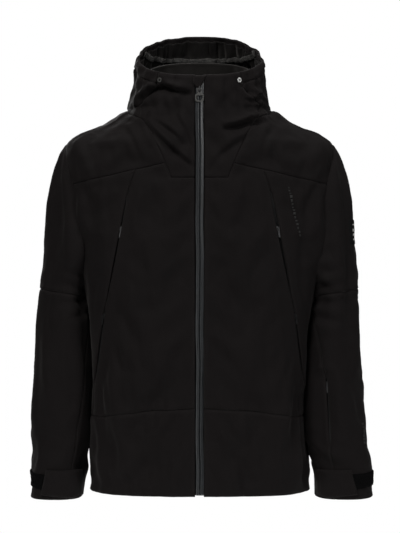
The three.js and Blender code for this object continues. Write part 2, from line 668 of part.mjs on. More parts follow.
// Both tapes of a pocket zip, with their coils, joined by a stop at each end.
function pocketZip(length, scale) {
  const half = 4.6 / scale;
  const tape = (s) =>
    block(
      [s > 0 ? TEETH_GAP : -half, TAPE_FRONT, 0],
      [s > 0 ? half : -TEETH_GAP, TAPE_BACK, length / scale],
    ).add(
      block(
        [s > 0 ? TEETH_GAP : -COIL_WIDTH, TAPE_BACK - 0.1, 0],
        [s > 0 ? COIL_WIDTH : -TEETH_GAP, COIL_BACK, length / scale],
      ),
    );
  const stop = (z) => block([-COIL_WIDTH, TAPE_FRONT, z], [COIL_WIDTH, COIL_BACK, z + 3]);
  return geometryOf(tape(1).add(tape(-1)).add(stop(0)).add(stop(length / scale - 3))).scale(scale, scale, scale);
}

// A slider and its pull in a frame, at a height along it.
function addSlider(name, frameMatrix, height, scale, ringShaped, parent = garment) {
  const place = new THREE.Matrix4().makeTranslation(0, 0, height).premultiply(frameMatrix);
  add(`${name}_slider`, sliderGeometry(scale).applyMatrix4(place), looks.metal, parent);
  add(`${name}_pull`, pullGeometry(scale, ringShaped).applyMatrix4(place), looks.metal, parent);
}

function addPocketZip(name, frame, sliderShare, turn = new THREE.Matrix4()) {
  const matrix = turn.clone().multiply(frame.matrix);
  const placed = pocketZip(frame.length, POCKET_SCALE).applyMatrix4(matrix);
  const group = new THREE.Group();
  garment.add(group);
  add(`${name}_zip`, matrix.determinant() < 0 ? flipped(placed) : placed, looks.film, group);
  const place = new THREE.Matrix4().makeTranslation(0, 0, frame.length * sliderShare).premultiply(matrix);
  const pair = [
    ["slider", sliderGeometry(POCKET_SCALE)],
    ["pull", pullGeometry(POCKET_SCALE, false)],
  ];
  for (const [piece, shape] of pair) {
    const moved = shape.applyMatrix4(place);
    add(`${name}_${piece}`, place.determinant() < 0 ? flipped(moved) : moved, looks.metal, group);
  }
}

// A mirrored geometry with its faces turned outwards again.
function flipped(geometry) {
  const g = geometry.index ? geometry : mergeVertices(geometry);
  const index = g.index.array;
  for (let i = 0; i < index.length; i += 3) [index[i + 1], index[i + 2]] = [index[i + 2], index[i + 1]];
  return g;
}

addPocketZip("chest_pocket_left", chestFrame, chestPocket.slider);
addPocketZip("chest_pocket_right", chestFrame, chestPocket.slider, mirrorMatrix);
addPocketZip("hand_pocket_left", handFrame, handPocket.slider);
addPocketZip("hand_pocket_right", handFrame, handPocket.slider, mirrorMatrix);
addPocketZip("forearm_pocket", armFrame, 0.9);

// The front zip, in a frame that leans with the jacket's front.
const zipFrame = new THREE.Matrix4()
  .makeRotationX(-Math.atan(ZIP_LEAN))
  .setPosition(0, -bodyDepthFront(ZIP_START), ZIP_START);
const ZIP_TOP_CLEAR = 6;
const ZIP_LENGTH = (CHIN - ZIP_TOP_CLEAR - ZIP_START) / Math.cos(Math.atan(ZIP_LEAN));
const BOX_LENGTH = 12; // the retaining box at the zip's foot
const GARAGE_LENGTH = 16; // the flap of cloth that covers the zip's top end

for (const [side, s] of [["left", 1], ["right", -1]]) {
  const half = (low, high, y0, y1) =>
    block([s > 0 ? low : -high, y0, BOX_LENGTH + 1], [s > 0 ? high : -low, y1, ZIP_LENGTH]);
  const tape = half(TEETH_GAP, ZIP_HALF_WIDTH, TAPE_FRONT, TAPE_BACK);
  const coil = half(TEETH_GAP, COIL_WIDTH, TAPE_BACK - 0.1, COIL_BACK);
  add(`front_zip_tape_${side}`, geometryOf(tape.add(coil)).applyMatrix4(zipFrame), looks.film);
}
add(
  "front_zip_box",
  geometryOf(
    block([-4.5, TAPE_FRONT - 0.4, 0], [1.2, COIL_BACK + 0.8, BOX_LENGTH]),
  ).applyMatrix4(zipFrame),
  looks.metal,
);
add(
  "front_zip_pin",
  geometryOf(block([1.8, TAPE_FRONT, 1.5], [3.6, COIL_BACK, BOX_LENGTH])).applyMatrix4(zipFrame),
  looks.metal,
);
const MAIN_SLIDER_AT = ZIP_LENGTH - GARAGE_LENGTH - PLATE_LENGTH / 2 + 4;
addSlider("front_zip", zipFrame, MAIN_SLIDER_AT, MAIN_SCALE, true);
add(
  "zip_garage",
  geometryOf(
    block([-7, TAPE_FRONT - 3.4, ZIP_LENGTH - GARAGE_LENGTH + 5], [7, TAPE_FRONT - 0.5, ZIP_LENGTH + 4]).add(
      block([-7, TAPE_FRONT - 3.4, ZIP_LENGTH + 0.6], [7, COIL_BACK + 2, ZIP_LENGTH + 4]),
    ),
  ).applyMatrix4(zipFrame),
  looks.shell,
);

// ---------- an eyelet for the hood's drawcord each side of the chin ----------
const EYELET = { x: 77, z: CHIN - 7, radius: 4.6, hole: 2.1, thick: 1.4 };
for (const [side, s] of [["left", 1], ["right", -1]]) {
  const ring = new THREE.Shape().absarc(0, 0, EYELET.radius, 0, 2 * Math.PI, false);
  ring.holes.push(new THREE.Path().absarc(0, 0, EYELET.hole, 0, 2 * Math.PI, true));
  const g = new THREE.ExtrudeGeometry(ring, { depth: EYELET.thick, bevelEnabled: false, curveSegments: 8 });
  g.rotateX(Math.PI / 2);
  const slope = (frontOfBody(EYELET.x - 4, EYELET.z) - frontOfBody(EYELET.x + 4, EYELET.z)) / 8;
  g.rotateZ(s * Math.atan(slope));
  g.translate(s * EYELET.x, -frontOfBody(EYELET.x, EYELET.z) - FIT_GAP, EYELET.z);
  add(`hood_eyelet_${side}`, g, looks.metal);
}

export default jacket;
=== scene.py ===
"""A hooded ski jacket. Its cloth is cut into panels along the CAD model's seams, draped and stitched."""
import math
import random

import bpy
import numpy as np
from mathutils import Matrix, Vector
from mathutils.geometry import delaunay_2d_cdt


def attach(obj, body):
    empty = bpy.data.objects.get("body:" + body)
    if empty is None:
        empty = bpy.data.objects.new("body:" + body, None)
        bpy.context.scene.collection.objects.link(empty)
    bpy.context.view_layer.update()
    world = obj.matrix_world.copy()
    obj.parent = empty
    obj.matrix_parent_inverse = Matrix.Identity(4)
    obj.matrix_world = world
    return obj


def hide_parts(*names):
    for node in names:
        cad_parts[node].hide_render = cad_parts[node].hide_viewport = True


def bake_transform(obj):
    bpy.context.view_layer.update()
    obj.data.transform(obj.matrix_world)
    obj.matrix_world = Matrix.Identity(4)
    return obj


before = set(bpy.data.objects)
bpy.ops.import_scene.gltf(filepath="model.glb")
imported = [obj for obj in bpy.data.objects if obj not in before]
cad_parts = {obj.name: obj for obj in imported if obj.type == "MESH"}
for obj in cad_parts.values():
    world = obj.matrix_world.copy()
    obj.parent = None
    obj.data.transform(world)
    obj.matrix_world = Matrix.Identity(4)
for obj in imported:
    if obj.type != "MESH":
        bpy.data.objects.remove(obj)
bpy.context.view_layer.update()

# ---------- dimensions of the garment form, in millimetres, as in the CAD model ----------
HEM, NECK, SHOULDER, CHIN, HOOD_TOP, ELBOW = 18, 770, 692, 826, 932, 400
HEM_SEAM, CHIN_SEAM, BACK_YOKE_SEAM = 186, 629, 600
LOOP_Y, LOOP_Z = 80, 778
SIDE_SEAM_Y = 8
RIM_FRONT_Y, RIM_BACK_Y = -125, 105
RIM_SLOPE = (HOOD_TOP - CHIN) / (RIM_BACK_Y - RIM_FRONT_Y)
RIM_BAND = 22
CENTRE_HALF = 62  # half the hood's middle panel
NECK_EDGE = NECK - 0.5  # where the body's panels end under the hood
SIDE_YOKE, SIDE_HEM, BACK_HEM = 617, 164, 156  # where the seams cross the side seam, and the back hem's seam
ZIP_LEAN = (150 - 120) / (CHIN - HEM)


def profile(*knots):
    """A smooth curve through (height, value) pairs, level beyond both ends, read from a table."""
    zs = np.arange(-60, 1101, 1.0)
    values = []
    last = len(knots) - 1
    slope = lambda a, b: (b[1] - a[1]) / (b[0] - a[0])
    easy = lambda s, t: 0 if s * t <= 0 else 2 * s * t / (s + t)
    for z in zs:
        if z <= knots[0][0] or z >= knots[last][0]:
            values.append(knots[0 if z <= knots[0][0] else last][1])
            continue
        i = next(k for k in range(len(knots)) if knots[k][0] > z) - 1
        p, q = knots[i], knots[i + 1]
        here = slope(p, q)
        s0 = easy(slope(knots[i - 1], p), here) if i > 0 else here
        s1 = easy(here, slope(q, knots[i + 2])) if i + 1 < last else here
        w = q[0] - p[0]
        t = (z - p[0]) / w
        values.append(
            (2 * t**3 - 3 * t**2 + 1) * p[1] + (t**3 - 2 * t**2 + t) * w * s0
            + (3 * t**2 - 2 * t**3) * q[1] + (t**3 - t**2) * w * s1
        )
    return lambda z: np.interp(z, zs, values)


body_half = profile(
    (HEM, 222), (80, 220), (190, 211), (300, 215), (ELBOW, 226), (500, 248), (610, 261),
    (SHOULDER - 20, 267), (SHOULDER + 6, 263), (SHOULDER + 24, 244), (NECK - 18, 174), (NECK - 2, 139),
    (NECK + 20, 137), (NECK + 66, 130), (NECK + 100, 123), (HOOD_TOP - 36, 112), (HOOD_TOP, 91),
    (HOOD_TOP + 48, 65),
)
body_back = profile(
    (HEM, 130), (190, 122), (450, 128), (580, 132), (SHOULDER, 122), (NECK, 108), (NECK + 34, 122),
    (NECK + 74, 134), (HOOD_TOP - 44, 130), (HOOD_TOP, 108),
)
body_square = profile((520, 2.8), (660, 2.4), (NECK - 40, 2), (NECK, 2), (CHIN, 2.5))
sleeve_half = profile(
    (0, 56), (200, 56), (ELBOW, 46), (500, 64), (590, 60), (650, 41), (SHOULDER - 4, 23), (SHOULDER + 11, 7),
)
sleeve_depth = profile(
    (0, 62), (200, 72), (ELBOW, 84), (500, 86), (590, 78), (650, 58), (SHOULDER - 4, 30), (SHOULDER + 11, 9),
)
sleeve_outer = profile(
    (0, 340), (200, 331), (ELBOW, 318), (500, 310), (600, 299), (650, 290), (SHOULDER - 10, 279),
    (SHOULDER + 11, 265),
)
sleeve_mid = profile((0, -12), (200, 0), (ELBOW, 12), (SHOULDER, 8))


def body_section(z):
    return 0, 0, body_half(z), 150 - ZIP_LEAN * (z - HEM), body_back(z), body_square(z)


def sleeve_section(z):
    half = sleeve_half(z)
    return sleeve_outer(z) - half, sleeve_mid(z), half, sleeve_depth(z), sleeve_depth(z), 2.1


def rim_height(y):
    return CHIN + RIM_SLOPE * (y - RIM_FRONT_Y)


# ---------- smooth noise for folds ----------
class Waves:
    """A sum of sine waves with set sizes and directions, so that cloth folds run on across seams."""

    def __init__(self, seed, size, stretch=(1, 1, 1), count=7):
        rng = np.random.RandomState(seed)
        d = rng.normal(size=(count, 3)) / np.array(stretch)
        d /= np.linalg.norm(rng.normal(size=(count, 3)), axis=1).mean()
        self.k = d * (2 * math.pi / size) * rng.uniform(0.6, 1.5, (count, 1))
        self.phase = rng.uniform(0, 2 * math.pi, count)

    def __call__(self, p):
        return np.sin(p @ self.k.T + self.phase).sum(1) / math.sqrt(len(self.phase) / 2)


def unit(v):
    return v / np.maximum(np.linalg.norm(v, axis=-1, keepdims=True), 1e-9)


def smoothstep(a, b, x):
    t = np.clip((x - a) / (b - a), 0, 1)
    return t * t * (3 - 2 * t)


def segment_distance(p, line):
    """Distance from each point to a polyline, with how far along the line it is, from 0 to 1."""
    best = np.full(len(p), 1e9)
    along = np.zeros(len(p))
    line = np.asarray(line, float)
    total = np.linalg.norm(np.diff(line, axis=0), axis=1).sum()
    done = 0
    for a, b in zip(line[:-1], line[1:]):
        d = b - a
        length = np.linalg.norm(d)
        if length < 1e-9:
            continue
        t = np.clip(((p - a) @ d) / length**2, 0, 1)
        dist = np.linalg.norm(p - (a + t[:, None] * d), axis=1)
        near = dist < best
        best = np.where(near, dist, best)
        along = np.where(near, (done + t * length) / total, along)
        done += length
    return best, along


# ---------- the draped surface ----------
class Surface:
    """A tube through sections. u runs round it from -1 to 1, from the back past the front; z is the height."""

    HALF = 200

    def __init__(self, section, low, high, step=4.0, mirror=1):
        self.zs = np.arange(low, high + step, step)
        rows = []
        phi = np.linspace(-math.pi, math.pi, 1441)
        for z in self.zs:
            cx, cy, half, front, back, n = section(z)
            s, c = np.sin(phi), np.cos(phi)
            x = cx + np.sign(s) * np.abs(s) ** (2 / n) * half
            y = cy - np.sign(c) * np.abs(c) ** (2 / n) * np.where(c > 0, front, back)
            p = np.stack([x * mirror, y, np.full_like(x, z)], 1)
            if mirror < 0:
                p = p[::-1]
            step_lengths = np.linalg.norm(np.diff(p, axis=0), axis=1)
            run = np.concatenate([[0], np.cumsum(step_lengths)])
            middle = run[720]
            u = np.where(run < middle, run / middle - 1, (run - middle) / (run[-1] - middle))
            targets = np.linspace(-1, 1, 2 * self.HALF + 1)
            rows.append(np.stack([np.interp(targets, u, p[:, k]) for k in range(3)], 1))
        self.p = np.array(rows)
        self.us = np.linspace(-1, 1, 2 * self.HALF + 1)
        self.length = np.linalg.norm(np.diff(self.p, axis=1), axis=2).sum(1) / 2
        self.rest = self.p.copy()
        du = np.gradient(self.p, axis=1)
        du[:, 0] = du[:, -1] = self.p[:, 1] - self.p[:, -2]
        dz = np.gradient(self.p, axis=0)
        self.n = unit(np.cross(du, dz))
        slant = np.linalg.norm(dz, axis=2).mean(1) / np.gradient(self.zs)
        self.v = np.concatenate([[0], np.cumsum((slant[1:] + slant[:-1]) / 2 * np.diff(self.zs))])

    def v_of_z(self, z):
        return np.interp(z, self.zs, self.v)

    def z_of_v(self, v):
        return np.interp(v, self.v, self.zs)

    def _read(self, table, u, z):
        u = (np.asarray(u, float) + 1) % 2
        col = u * self.HALF
        row = np.interp(z, self.zs, np.arange(len(self.zs)))
        i = np.minimum(row.astype(int), len(self.zs) - 2)
        j = np.minimum(col.astype(int), 2 * self.HALF - 1)
        a, b = (row - i)[:, None], (col - j)[:, None]
        return (
            (table[i, j] * (1 - b) + table[i, j + 1] * b) * (1 - a)
            + (table[i + 1, j] * (1 - b) + table[i + 1, j + 1] * b) * a
        )

    def at(self, u, z, out=0.0, table=None):
        u, z = np.broadcast_arrays(np.atleast_1d(np.asarray(u, float)), np.asarray(z, float))
        p = self._read(self.p if table is None else table, u, z)
        n = unit(self._read(self.n, u, z))
        return p + n * (np.reshape(out, (-1, 1)) if np.ndim(out) else out)

    def normal(self, u, z):
        return unit(self._read(self.n, np.asarray(u, float), np.asarray(z, float)))

    def _rest_row(self, z):
        r = np.interp(z, self.zs, np.arange(len(self.zs)))
        k = min(int(r), len(self.zs) - 2)
        return self.rest[k] * (1 - (r - k)) + self.rest[k + 1] * (r - k)

    def u_front(self, x, z):
        """u of the point on the front half whose x is given."""
        x, z = np.broadcast_arrays(np.asarray(x, float), np.asarray(z, float))
        out = np.empty(len(x))
        for i, (xi, zi) in enumerate(zip(x, z)):
            row = self._rest_row(zi)
            low, high = int(np.argmin(row[:, 0])), int(np.argmax(row[:, 0]))
            if low > high:
                low, high = high, low
            part = row[low : high + 1]
            order = np.argsort(part[:, 0])
            out[i] = np.interp(xi, part[order, 0], self.us[low : high + 1][order])
        return out

    def u_side(self, z, side, y=SIDE_SEAM_Y):
        """u of the point on the back of one side whose y is given."""
        out = []
        for zi in np.atleast_1d(z):
            row = self._rest_row(zi)
            half = row[self.HALF :] if side > 0 else row[: self.HALF + 1][::-1]
            out.append(side * np.interp(y, half[:, 1], np.abs(self.us[self.HALF :])))
        return np.array(out)

    def drape(self, push):
        """Moves the surface along its normals by push(points at rest)."""
        flat = self.rest.reshape(-1, 3)
        moved = push(flat).reshape(self.p.shape[:2])
        self.p = self.p + self.n * moved[..., None]


body = Surface(body_section, HEM - 4, 996)
arms = {
    "left": Surface(sleeve_section, -4, SHOULDER + 11),
    "right": Surface(sleeve_section, -4, SHOULDER + 11, mirror=-1),
}


# ---------- folds ----------
def crease(p, line, width, depth):
    """A valley along a line drawn in front view, with a rounded fold of cloth hanging over it from above."""
    front = smoothstep(30, -40, p[:, 1])
    q = p[:, [0, 2]]
    d, along = segment_distance(q, line)
    ends = np.sin(np.clip(along, 0, 1) * math.pi) ** 0.6
    above, _ = segment_distance(q - np.array([0, 1.3 * width]), line)
    below, _ = segment_distance(q + np.array([0, 2.6 * width]), line)
    valley = -depth * np.exp(-((d / (0.75 * width)) ** 2))
    fold = 0.85 * depth * np.exp(-((above / (1.25 * width)) ** 2))
    fold += 0.25 * depth * np.exp(-((below / (1.6 * width)) ** 2))
    return front * ends * (valley + fold)


long_folds = Waves(3, 120, stretch=(1, 1, 2.6))
short_folds = Waves(11, 62, stretch=(1, 1, 1.8), count=9)
crumple = Waves(23, 30, count=11)
body_creases = [
    # where the hood's front edge folds over the chin guard
    ([(-116, 752), (-114, 766), (-108, 784), (-94, 799), (-72, 805), (-46, 796), (-14, 790)], 7, 14),
    # deep folds between the chin guard and the shoulders
    ([(43, 722), (70, 727), (101, 737), (133, 746)], 7, 16),
    ([(-106, 738), (-76, 704), (-45, 676), (-12, 648)], 7, 12),
    ([(-90, 742), (-62, 722), (-44, 708), (-30, 690)], 6, 5),
    ([(-49, 757), (-28, 720), (-15, 684), (-12, 655)], 7, 4.5),
    ([(84, 784), (101, 780), (125, 799)], 5, 6),
    ([(92, 800), (108, 794), (130, 780)], 5, 5),
    ([(20, 640), (39, 670), (70, 694), (93, 709), (112, 732)], 8, 5),
    ([(-150, 738), (-128, 700), (-112, 664)], 9, 5),
    ([(150, 742), (128, 706), (118, 670)], 9, 4),
    # long soft folds down the chest, from the pockets and over the hem
    ([(120, 640), (150, 560), (178, 470)], 16, 4),
    ([(30, 330), (80, 240), (140, 120), (170, 40)], 24, 8),
    ([(-22, 330), (-62, 240), (-118, 150), (-176, 100)], 26, 7),
    ([(-20, 170), (-90, 90), (-150, 22)], 20, 5),
    ([(40, 190), (70, 120), (88, 40)], 16, 4),
    ([(-70, 620), (-110, 540), (-132, 430)], 22, 5),
    ([(60, 600), (92, 500), (110, 420)], 24, 5),
    ([(-212, 610), (-200, 520), (-190, 430)], 14, 6),
    ([(216, 610), (206, 520), (196, 430)], 14, 6),
    ([(-175, 300), (-190, 220), (-205, 120)], 14, 6),
    ([(185, 290), (196, 210), (205, 110)], 14, 6),
]


CHEST_TOP, CHEST_FOOT = (138, 602), (180, 392)  # the ends of the pocket zips, in front view
HAND_TOP, HAND_FOOT = (184, 376), (205, 232)
POCKET_X, SLOT_LOW, SLOT_HIGH = 252, 112, 240  # the forearm pocket's place and ends


def flat_spots(p):
    """Near nought by the eyelets and the pocket zips, which hold the cloth flat, and one elsewhere."""
    away = np.hypot(np.abs(p[:, 0]) - 77, p[:, 2] - (CHIN - 7))
    flat = np.stack([np.abs(p[:, 0]), p[:, 2]], 1)
    line, _ = segment_distance(flat, [CHEST_TOP, CHEST_FOOT, HAND_TOP, HAND_FOOT])
    return np.where(p[:, 1] < 0, smoothstep(5, 15, away) * (0.12 + 0.88 * smoothstep(6, 26, line)), 1.0)


def body_push(p):
    z = p[:, 2]
    loose = smoothstep(700, 560, z) * (0.6 + 0.7 * smoothstep(420, 120, z))
    zip_line = 0.15 + 0.85 * smoothstep(8, 70, np.abs(p[:, 0]) + np.where(p[:, 1] > 0, 200, 0))
    d = (3.2 * long_folds(p) + 1.3 * short_folds(p)) * loose * zip_line
    d += 0.25 * crumple(p)
    hood = smoothstep(NECK - 60, NECK + 20, z)
    d += hood * zip_line * (1.8 * short_folds(p) + 0.6 * crumple(p))
    for line, width, depth in body_creases:
        d += crease(p, line, width, depth)
    stiff = smoothstep(HEM + 26, HEM, z)
    return d * (1 - 0.4 * stiff) * flat_spots(p)


def arm_push(side):
    s = 1 if side == "left" else -1
    folds = Waves(31 if s > 0 else 37, 120, stretch=(1, 1, 3))
    bend = Waves(41 if s > 0 else 43, 46, stretch=(1.6, 1, 0.8), count=9)

    def push(p):
        z = p[:, 2]
        near_elbow = np.exp(-(((z - ELBOW - 10) / 70) ** 2))
        near_cuff = np.exp(-(((z - 100) / 60) ** 2))
        inner = smoothstep(300, 240, s * p[:, 0])
        d = 3.4 * folds(p) * smoothstep(700, 560, z)
        d += 1.5 * bend(p) * (near_elbow * (0.5 + inner) + 0.8 * near_cuff) + 0.25 * crumple(p)
        # diagonal pulls at the bend of the elbow and where the cloth rests above the cuff
        for level, lean, size in ((452, 0.35, 3.2), (424, 0.2, 3.0), (384, -0.25, 3.2), (350, -0.4, 2.6)):
            line = level + lean * (s * p[:, 0] - 270)
            d -= size * inner * np.exp(-(((z - line) / 7) ** 2))
        d += 5.0 * inner * smoothstep(50, 130, z) * smoothstep(400, 340, z)
        for level, lean in ((128, 0.5), (96, 0.25)):
            line = level + lean * (s * p[:, 0] - 285)
            d -= 1.8 * np.exp(-(((z - line) / 8) ** 2)) * smoothstep(-0.4, 0.8, np.sin(p[:, 1] / 22))
        pocket, _ = segment_distance(p[:, [0, 2]], [(POCKET_X, SLOT_LOW), (POCKET_X, SLOT_HIGH)])
        return np.where((p[:, 1] < 0) & (s > 0), d * (0.12 + 0.88 * smoothstep(6, 22, pocket)), d)

    return push


def grid_faces(rows, columns, wrap=False):
    faces = []
    for i in range(rows - 1):
        for j in range(columns if wrap else columns - 1):
            k = (j + 1) % columns
            faces.append((i * columns + j, i * columns + k, (i + 1) * columns + k, (i + 1) * columns + j))
    return faces


def simulate(surface, name, rows, columns, held, gain, most, extra=0.045, gravity=0.5, frames=22):
    """Lets the surface hang as cloth a little too big for its form, and keeps its folds.
    extra is how much too big it is, and most how far in millimetres a fold may stand out."""
    zs = np.linspace(surface.zs[0], surface.zs[-1], rows)
    us = np.linspace(-1, 1, columns + 1)[:-1]
    uu, zz = np.meshgrid(us, zs)
    rest = surface.at(uu.ravel(), zz.ravel(), 0.0, surface.rest)
    mesh = bpy.data.meshes.new(name)
    mesh.from_pydata([tuple(p / 1000) for p in rest], [], grid_faces(rows, columns, wrap=True))
    obj = bpy.data.objects.new(name, mesh)
    bpy.context.scene.collection.objects.link(obj)
    group = obj.vertex_groups.new(name="held")
    for i, weight in enumerate(np.clip(held(uu.ravel(), rest), 0, 1)):
        if weight > 0.001:
            group.add([i], float(weight), "REPLACE")
    cloth = obj.modifiers.new("cloth", "CLOTH")
    c = cloth.settings
    c.vertex_group_mass = "held"
    c.pin_stiffness = 0.6
    c.quality = 6
    c.mass = 0.25
    c.tension_stiffness = c.compression_stiffness = 18
    c.shear_stiffness = 8
    c.bending_stiffness = 0.35
    c.shrink_min = -extra
    c.air_damping = 2
    c.effector_weights.gravity = gravity
    cloth.collision_settings.use_collision = False
    cloth.point_cache.frame_start, cloth.point_cache.frame_end = 1, frames
    for f in range(1, frames + 1):
        bpy.context.scene.frame_set(f)
    shown = obj.evaluated_get(bpy.context.evaluated_depsgraph_get())
    out = np.empty(len(shown.data.vertices) * 3)
    shown.data.vertices.foreach_get("co", out)
    bpy.data.objects.remove(obj)
    bpy.context.scene.frame_set(1)
    moved = ((out.reshape(-1, 3) * 1000 - rest) * surface.normal(uu.ravel(), zz.ravel())).sum(1)
    table = np.nan_to_num(moved).reshape(rows, columns)
    broad = table  # the broad sag is left out, so that the form keeps its girth
    window = np.hanning(19)[1:-1] / 9
    for axis, mode, width in ((0, "edge", [(8, 8), (0, 0)]), (1, "wrap", [(0, 0), (8, 8)])):
        broad = np.pad(broad, width, mode)
        broad = np.apply_along_axis(np.convolve, axis, broad, window, "valid")
    table = most * np.tanh(gain * (table - broad) / most)
    table = np.concatenate([table, table[:, :1]], 1)
    for _ in range(2):
        side = np.pad(table, ((1, 1), (0, 0)), "edge")
        table = 0.5 * table + 0.25 * (side[:-2] + side[2:])
    wide = np.array([np.interp(surface.us, np.linspace(-1, 1, columns + 1), r) for r in table])
    full = np.array([np.interp(surface.zs, zs, wide[:, j]) for j in range(wide.shape[1])]).T
    if surface is body:
        full *= flat_spots(surface.rest.reshape(-1, 3)).reshape(full.shape)
    x, z = np.abs(surface.rest[..., 0]), surface.rest[..., 2]
    facing = smoothstep(192, 214, x) if surface is body else smoothstep(282, 258, x)
    facing = facing * smoothstep(60, 110, z) * smoothstep(480, 420, z)
    full = full + facing * (np.maximum(full, 1.0) - full)  # sleeve and coat lie against each other
    surface.p = surface.p + surface.n * full[..., None]


def body_held(u, p):
    z = p[:, 2]
    at_zip = smoothstep(0.035, 0.012, np.abs(u))
    rim = smoothstep(-14, -4, z - rim_height(p[:, 1]))
    neck = 0.6 * np.exp(-(((z - NECK) / 12) ** 2)) * (p[:, 1] > -60)
    arm = 0.7 * smoothstep(40, 10, np.abs(np.abs(p[:, 0]) - 262)) * (z > 560)
    flat = np.stack([np.abs(p[:, 0]), z], 1)
    away, _ = segment_distance(flat, [(123, 645), CHEST_FOOT, HAND_TOP, (205, 225)])
    pocket = 0.95 * smoothstep(26, 8, away) * (p[:, 1] < 0)
    hem = 0.9 * smoothstep(HEM + 8, HEM, z)
    return np.maximum.reduce([at_zip, rim, neck, arm, pocket, hem, np.full(len(z), 0.012)])


def arm_held(u, p):
    z = p[:, 2]
    flat = np.stack([p[:, 0], z], 1)
    away, _ = segment_distance(flat, [(POCKET_X, SLOT_LOW - 7), (POCKET_X, SLOT_HIGH + 6)])
    pocket = 0.95 * smoothstep(26, 8, away) * (p[:, 1] < 0)
    cuff = 0.9 * smoothstep(70, 40, z)
    return np.maximum.reduce([smoothstep(660, 690, z), cuff, pocket, np.full(len(z), 0.010)])


simulate(body, "drape_body", 124, 144, body_held, gain=1.25, most=6.0)
for side, sleeve in arms.items():
    simulate(sleeve, f"drape_{side}_sleeve", 90, 44, arm_held, gain=0.8, most=4.0, extra=0.06, gravity=0.7)

body.drape(body_push)
for side in arms:
    arms[side].drape(arm_push(side))


# ---------- materials ----------
class Nodes:
    """Small helper to build a material's node tree."""

    def __init__(self, name, roughness=0.85, specular=0.18, metallic=0.0):
        self.material = bpy.data.materials.new(name)
        self.material.use_nodes = True
        self.tree = self.material.node_tree
        self.shader = self.tree.nodes["Principled BSDF"]
        self.shader.inputs["Roughness"].default_value = roughness
        self.shader.inputs["Specular IOR Level"].default_value = specular
        self.shader.inputs["Metallic"].default_value = metallic

    def node(self, kind, **settings):
        n = self.tree.nodes.new(kind)
        for key, value in settings.items():
            if key in n.inputs:
                n.inputs[key].default_value = value
            else:
                setattr(n, key, value)
        return n

    def texture(self, kind, space, **settings):
        """A texture read on the UVs or on the object's own coordinates."""
        n = self.node(f"ShaderNodeTex{kind}", **settings)
        self.link(self.node("ShaderNodeTexCoord").outputs[space], n.inputs["Vector"])
        return n

    def bands(self, width, **settings):
        """Even bands across the UVs, each of a width in metres."""
        return self.texture("Wave", "UV", wave_type="BANDS", Scale=0.314 / width, **settings)

    def link(self, a, b):
        self.tree.links.new(a, b)

    def math(self, operation, a, b):
        n = self.node("ShaderNodeMath", operation=operation)
        for socket, value in zip(n.inputs, (a, b)):
            if hasattr(value, "links"):
                self.link(value, socket)
            else:
                socket.default_value = value
        return n.outputs[0]

    def ramp(self, factor, *stops):
        n = self.node("ShaderNodeValToRGB")
        while len(n.color_ramp.elements) < len(stops):
            n.color_ramp.elements.new(0.5)
        for element, (position, colour) in zip(n.color_ramp.elements, stops):
            element.position = position
            element.color = (*colour, 1)
        self.link(factor, n.inputs[0])
        return n.outputs[0]

    def bump(self, height, distance, strength=1.0, after=None):
        n = self.node("ShaderNodeBump", Strength=strength, Distance=distance)
        self.link(height, n.inputs["Height"])
        if after is not None:
            self.link(after, n.inputs["Normal"])
        return n.outputs[0]

    def finish(self, colour=None, normal=None, roughness=None):
        for name, value in (("Base Color", colour), ("Normal", normal), ("Roughness", roughness)):
            if value is not None:
                self.link(value, self.shader.inputs[name])
        return self.material


def woven(name, dark, light, thread=0.0008, sheen=0.03, specular=0.09):
    """Plain-woven cloth: two sets of threads on the UVs, uneven dye, fine crinkles and a lighter band along seams
    and edges.
    """
    m = Nodes(name, 0.8, specular)
    warp, weft = (m.bands(thread, bands_direction=way, Distortion=0.6, Detail=1.0) for way in ("X", "Y"))
    weave = m.math("MAXIMUM", warp.outputs["Fac"], weft.outputs["Fac"])
    patches = m.texture("Noise", "Object", Scale=7.0, Detail=5.0, Roughness=0.6).outputs["Fac"]
    slub = m.texture("Noise", "Object", Scale=420.0, Detail=2.0).outputs["Fac"]
    seam_band = m.node("ShaderNodeAttribute", attribute_name="seam_band").outputs["Fac"]
    tone = m.math("ADD", m.math("MULTIPLY", patches, 0.55), m.math("MULTIPLY", slub, 0.25))
    tone = m.math("ADD", tone, m.math("MULTIPLY", weave, 0.12))
    # the tone is made lighter in a band along each seam and edge
    tone = m.math("ADD", tone, m.math("MULTIPLY", seam_band, 0.16))
    crinkles = m.texture("Noise", "Object", Scale=55.0, Detail=4.0, Roughness=0.55).outputs["Fac"]
    normal = m.bump(crinkles, 0.0006, 0.35, m.bump(weave, 0.00012, 0.5))
    m.shader.inputs["Sheen Weight"].default_value = sheen
    m.shader.inputs["Sheen Roughness"].default_value = 0.45
    m.shader.inputs["Sheen Tint"].default_value = (0.9, 0.86, 0.84, 1)
    dull = m.ramp(patches, (0.3, (0.74,) * 3), (0.7, (0.88,) * 3))
    return m.finish(m.ramp(tone, (0.3, dark), (0.8, light)), normal, dull)


def worn_metal(name, colour, roughness):
    m = Nodes(name, roughness, 0.5, 1.0)
    scratches = m.texture("Noise", "Object", Scale=900.0, Detail=4.0).outputs["Fac"]
    tint = m.ramp(scratches, (0.3, tuple(c * 0.7 for c in colour)), (0.75, colour))
    dull = m.ramp(scratches, (0.3, (roughness,) * 3), (0.8, (roughness + 0.2,) * 3))
    return m.finish(tint, m.bump(scratches, 0.00008, 0.4), dull)


def pile(name, colour):
    m = Nodes(name, 1.0, 0.05)
    hooks = m.texture("Voronoi", "Object", Scale=700.0).outputs["Distance"]
    tint = m.ramp(hooks, (0.0, tuple(c * 2.4 for c in colour)), (0.6, colour))
    return m.finish(tint, m.bump(hooks, 0.0009, 1.0))


